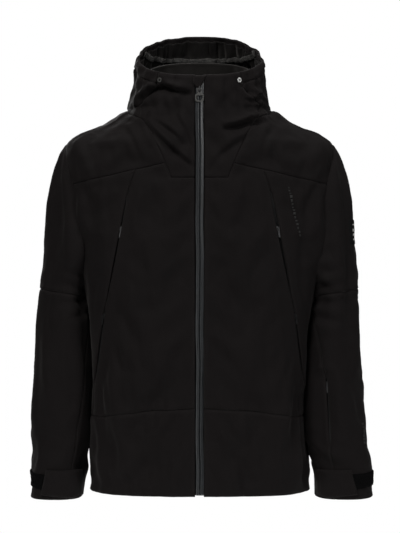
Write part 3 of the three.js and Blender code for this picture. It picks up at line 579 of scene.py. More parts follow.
def film(name):
    m = Nodes(name, 0.33, 0.5)
    ripples = m.texture("Noise", "Object", Scale=60.0, Detail=3.0).outputs["Fac"]
    tint = m.ramp(ripples, (0.3, (0.011, 0.0125, 0.014)), (0.7, (0.017, 0.0195, 0.022)))
    m.shader.inputs["Coat Weight"].default_value = 0.25
    m.shader.inputs["Coat Roughness"].default_value = 0.25
    return m.finish(tint, m.bump(ripples, 0.0005, 0.4))


def dashed_tape(name):
    """Elastic tape with a plain broken pattern in pale thread."""
    m = Nodes(name, 0.8, 0.15)
    bricks = m.texture("Brick", "UV", offset=0.37, squash=1.0, Scale=90.0, Bias=-0.35)
    settings = {
        "Mortar Size": 0.03, "Brick Width": 0.30, "Row Height": 0.20, "Color1": (0.075, 0.073, 0.070, 1),
        "Color2": (0.012, 0.012, 0.012, 1), "Mortar": (0.007, 0.007, 0.007, 1),
    }
    for key, value in settings.items():
        bricks.inputs[key].default_value = value
    ribs = m.bands(0.0012, bands_direction="X")
    return m.finish(bricks.outputs["Color"], m.bump(ribs.outputs["Fac"], 0.0003, 0.6))


def ribbed(name, colour):
    m = Nodes(name, 0.9, 0.1)
    ribs = m.bands(0.003, bands_direction="X").outputs["Fac"]
    tint = m.ramp(ribs, (0.1, tuple(c * 0.5 for c in colour)), (0.8, colour))
    return m.finish(tint, m.bump(ribs, 0.0008, 0.8))


def print_ink(name, colour):
    m = Nodes(name, 0.6, 0.3)
    wear = m.texture("Noise", "Object", Scale=260.0, Detail=3.0).outputs["Fac"]
    tint = m.ramp(wear, (0.35, tuple(c * 0.55 for c in colour)), (0.6, colour))
    return m.finish(tint, m.bump(wear, 0.0002, 0.3))


LOOKS = {
    "shell": woven("shell_cloth", (0.0052, 0.0043, 0.0044), (0.0098, 0.0081, 0.0082)),
    "lining": woven("lining_cloth", (0.0045, 0.0041, 0.0040), (0.0080, 0.0073, 0.0070), sheen=0.08),
    "fleece": woven("collar_cloth", (0.0070, 0.0064, 0.0060), (0.0120, 0.0110, 0.0102), thread=0.0014, sheen=0.2),
    "thread": woven("stitch_thread", (0.0050, 0.0046, 0.0044), (0.0100, 0.0092, 0.0086), thread=0.0003, sheen=0.05),
    "zip_tape": film("zip_film"),
    "coil": woven("zip_coil", (0.004, 0.004, 0.0042), (0.010, 0.010, 0.011), thread=0.0011, sheen=0.0, specular=0.4),
    "zip_metal": worn_metal("dark_metal", (0.16, 0.16, 0.165), 0.28),
    "eyelet": worn_metal("bright_metal", (0.34, 0.34, 0.33), 0.22),
    "hook_and_loop": pile("hook_and_loop", (0.0022, 0.0022, 0.0023)),
    "elastic": ribbed("elastic_rib", (0.009, 0.0088, 0.0086)),
    "tape": dashed_tape("elastic_tape"),
    "label": woven("label_weave", (0.003, 0.003, 0.0032), (0.006, 0.006, 0.0062), thread=0.0005, sheen=0.0),
    "ink": print_ink("soft_print", (0.016, 0.0156, 0.0152)),
    "white": print_ink("label_thread", (0.55, 0.55, 0.54)),
    "loop_tape": woven("loop_tape", (0.004, 0.004, 0.004), (0.009, 0.009, 0.009), thread=0.0012),
}


# ---------- building pieces ----------
def row(p):
    """From the garment form's millimetres to the row frame's metres."""
    p = np.asarray(p, float)
    return (p - np.array([0, LOOP_Y, LOOP_Z])) / 1000


def make(name, points, faces, look, body_name, uv=None, seam_band=None, replaces=()):
    mesh = bpy.data.meshes.new(name)
    mesh.from_pydata([tuple(p) for p in row(points)], [], [tuple(int(i) for i in f) for f in faces])
    mesh.materials.append(LOOKS[look])
    if uv is not None:
        layer = mesh.uv_layers.new(name="UVMap")
        loops = np.empty(len(mesh.loops), int)
        mesh.loops.foreach_get("vertex_index", loops)
        layer.data.foreach_set("uv", np.asarray(uv, float)[loops].ravel() / 1000)
    if seam_band is not None:
        mesh.attributes.new("seam_band", "FLOAT", "POINT").data.foreach_set("value", np.asarray(seam_band, np.float32))
    mesh.shade_smooth()
    mesh.update()
    obj = bpy.data.objects.new(name, mesh)
    bpy.context.scene.collection.objects.link(obj)
    if body_name:
        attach(obj, body_name)
    if replaces:
        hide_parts(*replaces)
    return obj


def thicken(obj, millimetres, offset=-1):
    m = obj.modifiers.new("thickness", "SOLIDIFY")
    m.thickness = millimetres / 1000
    m.offset = offset


def densify(line, step):
    out = []
    for a, b in zip(line[:-1], line[1:]):
        n = max(1, int(math.ceil(math.hypot(b[0] - a[0], b[1] - a[1]) / step)))
        out += [(a[0] + (b[0] - a[0]) * k / n, a[1] + (b[1] - a[1]) * k / n) for k in range(n)]
    return out + [tuple(line[-1])]


STEP = 4.0
GRID = 5.0


class Panel:
    """A panel of cloth: an outline of (line, kind) parts in (u, z), in order round it.
    kind is seam, edge or plain, with + where a row of stitches runs along it."""

    def __init__(self, surface, parts, out=0.0, grid=None):
        self.surface, self.out = surface, out
        zs = np.array([z for line, _ in parts for _, z in line])
        self.scale = float(np.interp(zs.mean(), surface.zs, surface.length))
        self.points, self.kinds = [], []
        for line, kind in parts:
            pts = np.array([(u * self.scale, surface.v_of_z(z)) for u, z in line])
            pts = densify([tuple(q) for q in pts], STEP)
            self.points += pts[:-1]
            self.kinds += [kind] * (len(pts) - 1)
        self.points = np.array(self.points)
        nxt = np.roll(self.points, -1, 0)
        if ((self.points[:, 0] * nxt[:, 1] - nxt[:, 0] * self.points[:, 1]).sum()) < 0:
            self.points = self.points[::-1].copy()
            self.kinds = [self.kinds[(i - 1) % len(self.kinds)] for i in range(len(self.kinds), 0, -1)]
            nxt = np.roll(self.points, -1, 0)
        self.next = nxt
        self.triangulate(grid or GRID)

    def inside(self, q):
        a, b = self.points, self.next
        hits = np.zeros(len(q), bool)
        for (ax, ay), (bx, by) in zip(a, b):
            crosses = (ay > q[:, 1]) != (by > q[:, 1])
            if by != ay:
                hits ^= crosses & (q[:, 0] < (bx - ax) * (q[:, 1] - ay) / (by - ay) + ax)
        return hits

    def distance(self, q, kinds=None):
        best = np.full(len(q), 1e9)
        for a, b, kind in zip(self.points, self.next, self.kinds):
            if kinds and not kind.startswith(kinds):
                continue
            d = b - a
            t = np.clip(((q - a) @ d) / max(d @ d, 1e-9), 0, 1)
            best = np.minimum(best, np.hypot(*(q - a - t[:, None] * d).T))
        return best

    def ring(self, inset, kinds=None):
        """Points set in from the outline by inset, where they are clear of the rest of it."""
        d = unit(self.next - self.points)
        normals = np.stack([-d[:, 1], d[:, 0]], 1)
        middle = (self.points + self.next) / 2 + normals * inset
        direction = d
        keep = np.array([kinds is None or k.endswith(kinds) for k in self.kinds])
        middle, direction = middle[keep], direction[keep]
        ok = self.inside(middle)
        ok[ok] = self.distance(middle[ok]) > 0.93 * inset
        return middle[ok], direction[ok]

    def triangulate(self, grid):
        low, high = self.points.min(0), self.points.max(0)
        rows = np.arange(low[1] + grid / 2, high[1], grid * 0.866)
        fill = np.array([
            (x, y)
            for i, y in enumerate(rows)
            for x in np.arange(low[0] + (grid / 2 if i % 2 else 0), high[0], grid)
        ]).reshape(-1, 2)
        fill = fill[self.inside(fill)]
        fill = fill[self.distance(fill) > 5.6]
        rings = [self.ring(r)[0] for r in (1.2, 2.8)]
        q = np.concatenate([self.points, *rings, fill])
        n = len(self.points)
        edges = [(i, (i + 1) % n) for i in range(n)]
        result = delaunay_2d_cdt([Vector(p) for p in q], edges, [list(range(n))], 1, 1e-4)
        self.q = np.array([tuple(p) for p in result[0]])
        self.faces = [tuple(f) for f in result[2]]

    def lift(self, q):
        """How far the cloth stands out at domain points: it dips into seams and rolls over at edges."""
        seam = self.distance(q, ("seam",))
        edge = self.distance(q, ("edge",))
        up = -1.7 * np.exp(-((seam / 1.5) ** 2)) + 0.55 * np.exp(-(((seam - 6) / 3.5) ** 2))
        roll = np.clip(1 - edge / 2.6, 0, 1)
        return self.out + up - 2.4 * (1 - np.sqrt(1 - roll**2)) + 0.5 * np.exp(-(((edge - 6) / 4) ** 2))

    def place(self, q, extra=0.0):
        u, z = q[:, 0] / self.scale, self.surface.z_of_v(q[:, 1])
        return self.surface.at(u, z, self.lift(q) + extra)

    def build(self, name, body_name, replaces=(), look="shell", slot="shell", thick=2.4):
        points = self.place(self.q)
        near = np.minimum(self.distance(self.q, ("seam",)), self.distance(self.q, ("edge",)))
        # a band about 2.5 mm from each seam and edge, where the cloth's tone is made lighter
        seam_band = np.exp(-((near - 2.5) ** 2) / 6)
        obj = make(name, points, self.faces, look, body_name, self.q, seam_band, replaces)
        thicken(obj, thick)
        return obj


class Stitches:
    """Short raised stitches, gathered into one piece for each body."""

    def __init__(self):
        self.points, self.faces = [], []

    def add(self, panel, inset, length=2.9, wide=0.42):
        """A row along every part of the outline whose kind ends with +."""
        middle, direction = panel.ring(inset, "+")
        if not len(middle):
            return
        half = length / 2
        a = panel.place(middle - direction * half, 0.22)
        b = panel.place(middle + direction * half, 0.22)
        normal = panel.surface.normal(middle[:, 0] / panel.scale, panel.surface.z_of_v(middle[:, 1]))
        self.lay(a, b, normal, wide)

    def lay(self, a, b, normal, wide):
        across = np.cross(unit(b - a), normal)
        middle = (a + b) / 2
        for i in range(len(a)):
            k = len(self.points)
            m = middle[i]
            self.points += [
                a[i] - normal[i] * 0.3, b[i] - normal[i] * 0.3, m + across[i] * wide, m + normal[i] * wide,
                m - across[i] * wide, m - normal[i] * wide,
            ]
            around = [(k + 2 + e, k + 2 + (e + 1) % 4) for e in range(4)]
            self.faces += [(k, q, p) for p, q in around] + [(k + 1, p, q) for p, q in around]

    def build(self, name, body_name):
        return make(name, np.array(self.points), self.faces, "thread", body_name)


def front_line(surface, line, step=6.0):
    """A line drawn in front view, as (u, z)."""
    pts = np.array(densify(line, step))
    return list(zip(surface.u_front(pts[:, 0], pts[:, 1]), pts[:, 1]))


def side_line(surface, z0, z1, side, step=6.0, y=SIDE_SEAM_Y):
    n = max(2, int(abs(z1 - z0) / step) + 1)
    zs = np.linspace(z0, z1, n)
    return list(zip(surface.u_side(zs, side, y), zs))


def level_line(u0, u1, z0, z1=None):
    z1 = z0 if z1 is None else z1
    return [(u0 + (u1 - u0) * t, z0 + (z1 - z0) * t) for t in np.linspace(0, 1, 30)]


# ---------- outer shell ----------
NECK_SEAM_LINE = [(66, 657), (72, 672), (92, 716), (110, 744), (116, 747.5), (138, 759.5)]
YOKE_LINE = [(66, 657), (123, 645), (190, 631), (255, 618)]
HEM_LINE = [(8.7, 185.5), (100, 180), (190, 166), (206, 165)]
CHIN_CORNER = (55, CHIN_SEAM)
CHIN_EDGE = [(116, 747.5), (112, 772), (98, 792), (82, 806)]
ZIP_EDGE = 8.3


def flip(line, side):
    return [(side * x, z) for x, z in line]


def shifted(line, side, by):
    """The line moved sideways by an amount that may change along it."""
    n = len(line)
    return [(side * (x + by(i / (n - 1))), z) for i, (x, z) in enumerate(line)]


def on_rim(u, drop=0.0):
    """The height where the rim's plane, lowered by drop, meets the surface at u."""
    z = 860.0
    for _ in range(25):
        z = 0.5 * z + 0.5 * (rim_height(body._read(body.rest, np.array([u]), np.array([z]))[0, 1]) - drop)
    return z


def rim_line(u0, u1, drop=0.0, n=70):
    return [(u, on_rim(u, drop)) for u in np.linspace(u0, u1, n)]


def u_back(x, z):
    us = np.linspace(0.55, 1.0, 200)
    xs = body._read(body.rest, us, np.full(200, float(z)))[:, 0]
    return float(np.interp(abs(x), xs[::-1], us[::-1]))


def centre_line(side, low, high):
    """The edge of the hood's middle panel."""
    return [(side * u_back(CENTRE_HALF, z), z) for z in np.linspace(low, high, 24)]


coat_stitches, hood_stitches = Stitches(), Stitches()
hood_pieces = []
# how far each side of an opening stands off its pocket zip, at the top and the foot
CHEST_GAP = {1: (3.4, 0.9), -1: (1.3, 0.7)}
HAND_GAP = {1: (1.2, 1.4), -1: (1.6, 3.0)}


def gap(ends, t):
    return ends[0] * (1 - t) + ends[1] * t


def pocket_line(side, which):
    """The seam that holds the pocket zips, on the front panel's side or the side panel's."""
    chest = densify([CHEST_TOP, CHEST_FOOT], 6)
    hand = densify([HAND_TOP, HAND_FOOT], 6)
    sign = -1 if which == "front" else 1

    def open_chest(t):
        ends = min(1, 0.06 + 3 * t, 0.03 + 3 * (1 - t))
        return sign * gap(CHEST_GAP[side], t) * math.sin(math.pi * ends / 2)

    def open_hand(t):
        return sign * gap(HAND_GAP[side], t) * math.sin(math.pi * (0.04 + 0.92 * t))

    top = flip(densify([YOKE_LINE[1], CHEST_TOP], 6), side)
    foot = flip([HAND_FOOT, HEM_LINE[-1]], side)
    return [
        (front_line(body, top), "seam+"),
        (front_line(body, shifted(chest, side, open_chest)), "edge+"),
        (front_line(body, flip([CHEST_FOOT, HAND_TOP], side)), "seam+"),
        (front_line(body, shifted(hand, side, open_hand)), "edge+"),
        (front_line(body, foot), "seam"),
    ]


def reverse(parts):
    return [(line[::-1], kind) for line, kind in parts[::-1]]


def side_u(z, side):
    return float(body.u_side([z], side)[0])


def front_u(surface, x, z):
    return float(surface.u_front([x], [z])[0])


for side, word in ((1, "left"), (-1, "right")):
    along = lambda line: front_line(body, flip(line, side))
    zip_low = along([(ZIP_EDGE, HEM), (ZIP_EDGE, HEM_SEAM)])
    zip_mid = along([(ZIP_EDGE, HEM_SEAM), (ZIP_EDGE, CHIN_SEAM)])
    yoke_out = along(YOKE_LINE[1:]) + [(side_u(SIDE_YOKE, side), SIDE_YOKE)]
    hem_side = along(HEM_LINE[-1:]) + [(side_u(SIDE_HEM, side), SIDE_HEM)]
    neck_to_side = along(NECK_SEAM_LINE[4:]) + [(side_u(NECK_EDGE, side), NECK_EDGE)]
    chin_u = front_u(body, side * 79, 818)
    chin_edge = along(CHIN_EDGE)
    band_u = chin_edge[-1][0]
    back_u = side * u_back(CENTRE_HALF, 800)
    band_foot_u = side * u_back(CENTRE_HALF, on_rim(back_u, RIM_BAND))
    panels = {
        "front_panel": [
            (zip_mid, "edge+"),
            (along([(ZIP_EDGE, CHIN_SEAM), CHIN_CORNER]), "seam+"),
            (along([CHIN_CORNER, YOKE_LINE[0]]), "seam+"),
            (along(YOKE_LINE[:2]), "seam+"),
            *pocket_line(side, "front"),
            (along(HEM_LINE[::-1]), "seam+"),
        ],
        "side_panel": [
            *reverse(pocket_line(side, "side")),
            (yoke_out, "seam+"),
            (side_line(body, SIDE_YOKE, SIDE_HEM, side), "seam"),
            (hem_side[::-1], "seam+"),
        ],
        "front_hem_panel": [
            (zip_low, "edge+"),
            (along(HEM_LINE), "seam"),
            (hem_side, "seam"),
            (side_line(body, SIDE_HEM, HEM, side), "seam"),
            (level_line(side_u(HEM, side), front_u(body, side * ZIP_EDGE, HEM), HEM), "edge+"),
        ],
        "shoulder_yoke": [
            (along(YOKE_LINE[:2]), "seam"),
            (yoke_out, "seam"),
            (side_line(body, SIDE_YOKE, NECK_EDGE, side), "seam"),
            (neck_to_side[::-1], "seam"),
            (along(NECK_SEAM_LINE[:5][::-1]), "seam+"),
        ],
        "chin_guard": [
            (along([(ZIP_EDGE, CHIN_SEAM), (ZIP_EDGE, CHIN - 1)]), "edge+"),
            (rim_line(front_u(body, side * ZIP_EDGE, CHIN), chin_u, n=24), "edge"),
            ([(chin_u, on_rim(chin_u)), chin_edge[-1]], "seam"),
            (chin_edge[::-1], "seam"),
            (along(NECK_SEAM_LINE[:5][::-1]), "seam"),
            (along([YOKE_LINE[0], CHIN_CORNER]), "seam"),
            (along([CHIN_CORNER, (ZIP_EDGE, CHIN_SEAM)]), "seam"),
        ],
        "hood_side": [
            (neck_to_side, "seam"),
            (level_line(side_u(NECK_EDGE, side), side * u_back(CENTRE_HALF, NECK), NECK_EDGE), "seam+"),
            (centre_line(side, NECK, on_rim(back_u, RIM_BAND)), "seam+"),
            (rim_line(band_foot_u, band_u, RIM_BAND), "seam"),
            (chin_edge[::-1], "seam+"),
        ],
    }
    for piece, parts in panels.items():
        hooded = piece == "hood_side"
        fine_grid = 3.2 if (piece in ("chin_guard", "hood_side", "shoulder_yoke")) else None
        panel = Panel(body, parts, grid=fine_grid)
        name = f"{piece}_{word}"
        obj = panel.build(f"{name}_cloth", None if hooded else "coat", [name])
        (hood_stitches if hooded else coat_stitches).add(panel, 3.4)
        if hooded:
            hood_pieces.append(obj)

over = lambda z: (side_u(z, 1), 2 - side_u(z, 1))
for name, low, high in (
    ("back_hem_panel", HEM, BACK_HEM),
    ("back_panel", BACK_HEM, BACK_YOKE_SEAM),
    ("back_yoke", BACK_YOKE_SEAM, NECK_EDGE),
):
    far = [(2 + u, z) for u, z in side_line(body, high, low, -1)]
    parts = [
        (side_line(body, low, high, 1), "seam"),
        (level_line(*over(high), high), "seam"),
        (far, "seam"),
        (level_line(*over(low)[::-1], low), "edge+" if low == HEM else "seam+"),
    ]
    panel = Panel(body, parts)
    panel.build(f"{name}_cloth", "coat", [name])
    coat_stitches.add(panel, 3.4)

centre_low = u_back(CENTRE_HALF, NECK)
centre_high = u_back(CENTRE_HALF, on_rim(u_back(CENTRE_HALF, 880), RIM_BAND))
centre_side = centre_line(1, NECK_EDGE, on_rim(centre_high, RIM_BAND))
parts = [
    (centre_side, "seam"),
    (rim_line(centre_high, 2 - centre_high, RIM_BAND), "seam"),
    ([(2 - u, z) for u, z in centre_side[::-1]], "seam"),
    (level_line(2 - centre_low, centre_low, NECK_EDGE), "seam+"),
]
centre = Panel(body, parts, grid=3.6)
hood_stitches.add(centre, 3.4)
hood_pieces.append(centre.build("hood_centre_panel_cloth", None, ["hood_centre_panel"]))
chin_u, band_start = front_u(body, 79, 818), front_u(body, *CHIN_EDGE[-1])
parts = [
    (rim_line(band_start, 2 - band_start, RIM_BAND), "seam"),
    ([(2 - band_start, on_rim(band_start, RIM_BAND)), (2 - chin_u, on_rim(chin_u))], "seam"),
    (rim_line(2 - chin_u, chin_u), "edge"),
    ([(chin_u, on_rim(chin_u)), (band_start, on_rim(band_start, RIM_BAND))], "seam"),
]
band = Panel(body, parts, out=0.8, grid=3.6)
hood_pieces.append(band.build("hood_rim_band_cloth", None, ["hood_rim_band"], thick=3.4))


# ---------- inside ----------
def declare(rows):
    """Turns a sheet's rows into metres and does nothing more with them."""
    rows = np.array(rows) / 1000


def loft(
    name, surface, us, low, high, rows, out, look, body_name, replaces, thick, wrap=False, held=None
):
    """A sheet of rows between two heights, each given as a function of u. out gives how far it stands out."""
    points, uv = [], []
    lows, highs = np.array([low(u) for u in us]), np.array([high(u) for u in us])
    for t in np.linspace(0, 1, rows):
        z = lows + (highs - lows) * t
        points.append(surface.at(us, z, out(us, z, t)))
        uv.append(np.stack([us * 400, z], 1))
    faces = grid_faces(rows, len(us), wrap)
    obj = make(name, np.concatenate(points), faces, look, body_name, np.concatenate(uv), None, replaces)
    thicken(obj, thick)
    if held:
        declare(points)
    return obj


def ruffle(u, count, seed=5):
    rng = np.random.RandomState(seed)
    wobble = sum(np.sin(u * k * math.pi + rng.uniform(0, 6)) for k in (3, 7, 11)) * 0.35
    return np.sin(u * count * math.pi + wobble * 3)


TAPE_Z = HOOD_TOP - 51


def lining_out(u, z, t):
    near_tape = np.exp(-(((z - TAPE_Z - 5) / 26) ** 2))
    above = smoothstep(TAPE_Z, TAPE_Z + 40, z)
    back = smoothstep(0.42, 0.62, np.minimum(u, 2 - u))
    gathered = ruffle(u, 34) * (0.5 + 1.3 * near_tape) + 0.8 * ruffle(u + 0.05 * t, 15, 8) * above
    return -7.2 + 1.6 * back * gathered - 2.2 * np.exp(-(((z - TAPE_Z - 5) / 7) ** 2)) * back


fine = 1
hood_us = np.linspace(0.34, 1.66, int(420 * fine))
hood_pieces.append(loft(
    "hood_lining_cloth", body, hood_us, lambda u: NECK + 5, lambda u: on_rim(u, 9), int(56 * fine), lining_out,
    "lining", None, ["hood_lining"], 1.2, held="gathered",
))
hood_pieces.append(loft(
    "hood_rim_facing", body, np.linspace(0.27, 1.73, int(300 * fine)), lambda u: on_rim(u, 21),
    lambda u: on_rim(u, 1.2), 10, lambda u, z, t: -4.6 + 1.4 * math.sqrt(t) + 0.5 * ruffle(u, 30, 9),
    "shell", None, [], 1.4,
))
TAPE_TALL, TAPE_SAG = 11.2, 1.2
hood_pieces.append(loft(
    "hood_elastic_tape_cloth", body, np.linspace(0.46, 1.54, int(360 * fine)),
    lambda u: TAPE_Z + TAPE_SAG * math.sin(u * 40),
    lambda u: TAPE_Z + TAPE_TALL + TAPE_SAG * math.sin(u * 40 + 0.5),
    5, lambda u, z, t: lining_out(u, z, t) - 2.4 + 0.3 * ruffle(u, 60, 3), "tape", None, ["hood_elastic_tape"],
    0.8, held="stretched",
))


def collar_section(z):
    up = (z - NECK) / 100
    return 0, -6, 117 - 19 * up, 98 + 3 * up, 98 - 16 * up, 2.3


collar = Surface(collar_section, NECK - 4, NECK + 118, step=3.0)
COLLAR_SLOPE = 0.33
collar_folds = Waves(51, 70, stretch=(1, 1, 2.5))
collar.drape(lambda p: 1.5 * collar_folds(p) + 0.4 * crumple(p))


def collar_top(u):
    z = 830.0
    for _ in range(20):
        y = collar._read(collar.rest, np.array([u]), np.array([z]))[0, 1]
        z = CHIN + COLLAR_SLOPE * (y - RIM_FRONT_Y) - 17
    return z


inner_collar = loft(
    "inner_collar_cloth", collar, np.linspace(0.03, 1.97, int(240 * fine)), lambda u: NECK - 1, collar_top, 26,
    lambda u, z, t: -0.4 - 2.0 * max(0.0, (t - 0.93) / 0.07) ** 2, "fleece", "coat", ["inner_collar"],
    3.4,
)

loft(
    "body_lining_cloth", body, np.linspace(0.035, 1.965, int(200 * fine)), lambda u: HEM + 41,
    lambda u: NECK - 14, int(120 * fine), lambda u, z, t: -11 + 0.8 * ruffle(u, 12, 4), "lining", "coat",
    ["body_lining"], 1.6, held="hung",
)


def skirt_out(u, z, t):
    return -(15 + 18 * (1 - t)) + 2.2 * ruffle(u, 44, 6) * (1 - t) + 0.8 * ruffle(u, 20, 2)


loft(
    "snow_skirt_cloth", body, np.linspace(0.05, 1.95, int(300 * fine)), lambda u: HEM + 53,
    lambda u: HEM_SEAM - 9, int(36 * fine), skirt_out, "lining", "coat", ["snow_skirt"], 1.4,
    held="gathered",
)


def tape_ring(name, centre, long, wide, height, thick, replaces):
    """A flat tape standing on edge along a stadium, for the hanger loop."""
    path = []
    for k in range(48):
        a = 2 * math.pi * k / 48
        c, s = math.cos(a), math.sin(a)
        reach = (long - wide) / 2 * math.copysign(1, c) * min(1, abs(c) * 3)
        path.append((centre[0] + reach + wide / 2 * c, centre[1] + wide / 2 * s))
    points, faces = [], []
    for k, (x, y) in enumerate(path):
        nx, ny = path[(k + 1) % 48][1] - path[k - 1][1], path[k - 1][0] - path[(k + 1) % 48][0]
        d = math.hypot(nx, ny) or 1
        for side, z in ((1, -0.5), (1, 0.5), (-1, 0.5), (-1, -0.5)):
            off = side * thick / 2 / d
            points.append((x + off * nx, y + off * ny, centre[2] + z * height))
    for k in range(48):
        j = (k + 1) % 48
        faces += [(4 * k + e, 4 * j + e, 4 * j + (e + 1) % 4, 4 * k + (e + 1) % 4) for e in range(4)]
    points = np.array(points)
    return make(name, points, faces, "loop_tape", "coat", points[:, :2], None, replaces)


tape_ring("hanger_loop_tape", (0, LOOP_Y - 1, LOOP_Z), 52, 8.5, 5, 1.2, ["hanger_loop"])

# ---------- sleeves ----------
ARMS = {"left": 1, "right": -1}
# the seam along the underside of each forearm, as (height, distance from the middle)
UNDER_SEAM = {
    "left": [(60, 262), (113, 256), (243, 250), (330, 238), (404, 232)],
    "right": [(2, 256), (61, 251), (180, 238), (275, 229), (404, 228)],
}


def armhole_height(surface, u):
    """Where the sleeve's surface at u goes into the body."""
    zs = np.arange(406, SHOULDER + 10, 1.0)
    p = surface._read(surface.rest, np.full(len(zs), u), zs)
    _, _, half, front, back, n = body_section(zs)
    depth = np.where(p[:, 1] < 0, front, back)
    inside = (np.abs(p[:, 0]) / half) ** n + (np.abs(p[:, 1]) / depth) ** n < 1
    return float(zs[np.argmax(inside)]) if inside.any() else float(zs[-1])


elbow_z = lambda u, s: ELBOW + 6 + 8 * math.sin(math.pi * u) * s
sleeve_pieces = {}
for word, s in ARMS.items():
    arm = arms[word]
    u0 = -0.5 if s > 0 else -1.5
    us = np.linspace(u0, u0 + 2, 120)
    top = [(u, min(armhole_height(arm, u) + 5, SHOULDER + 10)) for u in us]
    smooth = np.convolve([t[1] for t in top[-6:-1] + top + top[1:6]], np.hanning(13)[1:-1] / 6, "valid")
    top = [(u, max(z, elbow_z(u, s) + 14)) for (u, _), z in zip(top, smooth)]
    elbow = [(u, elbow_z(u, s)) for u in us]
    upper = Panel(arm, [
        (elbow, "seam+"),
        ([elbow[-1], top[-1]], "plain"),
        (top[::-1], "seam"),
        ([top[0], elbow[0]], "plain"),
    ])
    obj = upper.build(f"upper_sleeve_{word}_cloth", None, [f"upper_sleeve_{word}"])
    upper_stitches = Stitches()
    upper_stitches.add(upper, 3.4)
    seam_zs = np.linspace(1, 404, 60)
    knots = np.array(UNDER_SEAM[word])
    seam_x = s * np.interp(seam_zs, knots[:, 0], knots[:, 1])
    seam_u = arm.u_front(seam_x, seam_zs)
    slot = 1.4 if s > 0 else 0.0
    shift = slot * ((seam_zs > SLOT_LOW) & (seam_zs < SLOT_HIGH)) / 200
    first = list(zip(seam_u + shift, seam_zs))
    last = list(zip(seam_u + 2 - shift, seam_zs))
    first[-1] = (first[-1][0], elbow_z(first[-1][0], s))
    last[-1] = (last[-1][0], elbow_z(last[-1][0], s))
    ring = [(u, elbow_z(u, s)) for u in np.linspace(first[-1][0], last[-1][0], 120)]
    fore = Panel(arm, [
        (first, "seam+"),
        (ring, "seam"),
        (last[::-1], "seam"),
        (level_line(last[0][0], first[0][0], 1), "edge+"),
    ])
    obj2 = fore.build(f"forearm_{word}_cloth", None, [f"forearm_{word}"])
    fore_stitches = Stitches()
    fore_stitches.add(fore, 3.4)
    sleeve_pieces[word] = [obj, obj2, upper_stitches.build(f"upper_sleeve_{word}_stitches", None),
                           fore_stitches.build(f"forearm_{word}_stitches", None)]

    # the wall that closes the sleeve where it meets the body, between the body's shell and its lining
    border = np.array([arm.at([u], [z], -1.0)[0] for u, z in top[:-1]])
    centre_yz = border[:, 1:].mean(0)
    wall = [border]
    for t in np.linspace(0.1, 1, 12):
        yz = border[:, 1:] * (1 - t) + centre_yz * t
        _, _, half, front, back_depth, n = body_section(yz[:, 1])
        depth = np.where(yz[:, 0] < 0, front, back_depth)
        x = half * (1 - np.minimum(np.abs(yz[:, 0]) / depth, 0.99) ** n) ** (1 / n) - 6.5
        wall.append(np.stack([s * x, yz[:, 0], yz[:, 1]], 1))
    wall = np.concatenate(wall)
    wall_faces = grid_faces(13, len(border), wrap=True)
    wall_obj = make(f"armhole_wall_{word}", wall, wall_faces, "shell", None, wall[:, 1:], None)
    thicken(wall_obj, 1.2, 0)
    sleeve_pieces[word].append(wall_obj)

    # wrist gaiter
    loft(
        f"wrist_gaiter_{word}_knit", arm, np.linspace(-1, 1, 241)[:-1], lambda u: 17, lambda u: 83, 26,
        lambda u, z, t: -9 - 0.5 * ruffle(u, 60, 1) - 2 * math.sin(math.pi * t), "elastic", f"forearm_{word}",
        [f"wrist_gaiter_{word}"], 1.6, wrap=True, held="stretched",
    )

    # hook-and-loop patch, then the tab over it
    low_u, high_u = front_u(arm, s * 292, 20), front_u(arm, s * 286, 50)
    far_u = s * 0.60
    patch = Panel(arm, [
        (level_line(low_u, far_u, 20, 27), "edge"),
        ([(far_u, 27), (far_u, 55)], "edge"),
        (level_line(far_u, high_u, 55, 50), "edge"),
        ([(high_u, 50), (low_u, 20)], "edge"),
    ], out=2.4, grid=2.2)
    fuzz = Waves(71, 3.2, count=12)
    cloth = patch.place(patch.q)
    outwards = arm.normal(patch.q[:, 0] / patch.scale, arm.z_of_v(patch.q[:, 1]))
    cloth += outwards * (0.35 * fuzz(cloth))[:, None]
    patch_obj = make(
        f"cuff_loop_patch_{word}_pile", cloth, patch.faces, "hook_and_loop", f"forearm_{word}", patch.q, None,
        [f"cuff_loop_patch_{word}"],
    )
    thicken(patch_obj, 2.0)

    def tab_panel(outline, kinds, out):
        ends = zip(outline, outline[1:] + outline[:1])
        parts = [(front_line(arm, flip(pair, s), 4), kind) for pair, kind in zip(ends, kinds)]
        return Panel(arm, parts, out=out, grid=3.0)

    tab = tab_panel([(240, 59), (298, 60), (309, 11), (251, 4), (240, 7)], ["edge+"] * 4 + ["plain"], 5.2)
    tab.build(f"cuff_tab_{word}_cloth", f"cuff_tab_{word}", [f"cuff_tab_{word}"], thick=2.2)
    root = tab_panel([(231, 58), (241, 59), (241, 7), (234, 10)], ["edge", "plain", "edge", "edge"], 5.1)
    root.build(f"cuff_tab_root_{word}", f"forearm_{word}", thick=3.2)
    tab_stitches = Stitches()
    tab_stitches.add(tab, 3.0)
    tab_stitches.build(f"cuff_tab_{word}_stitches", f"cuff_tab_{word}")


# ---------- zips ----------
def frame_points(origin, up, inwards, local):
    """Points given as (across, inwards, along) in a zip's own frame."""
    up, inwards = (np.array(v, float) / np.linalg.norm(v) for v in (up, inwards))
    across = np.cross(inwards, up)
    local = np.asarray(local, float)
    return np.array(origin) + local[:, :1] * across + local[:, 1:2] * inwards + local[:, 2:3] * up


FRONT_UP = (0, ZIP_LEAN, 1)
FRONT_IN = (0, 1, -ZIP_LEAN)
ZIP_ORIGIN = (0, -150 + ZIP_LEAN * 3, HEM + 3)
ZIP_LENGTH = 799
zip_waves = Waves(61, 90, count=5)


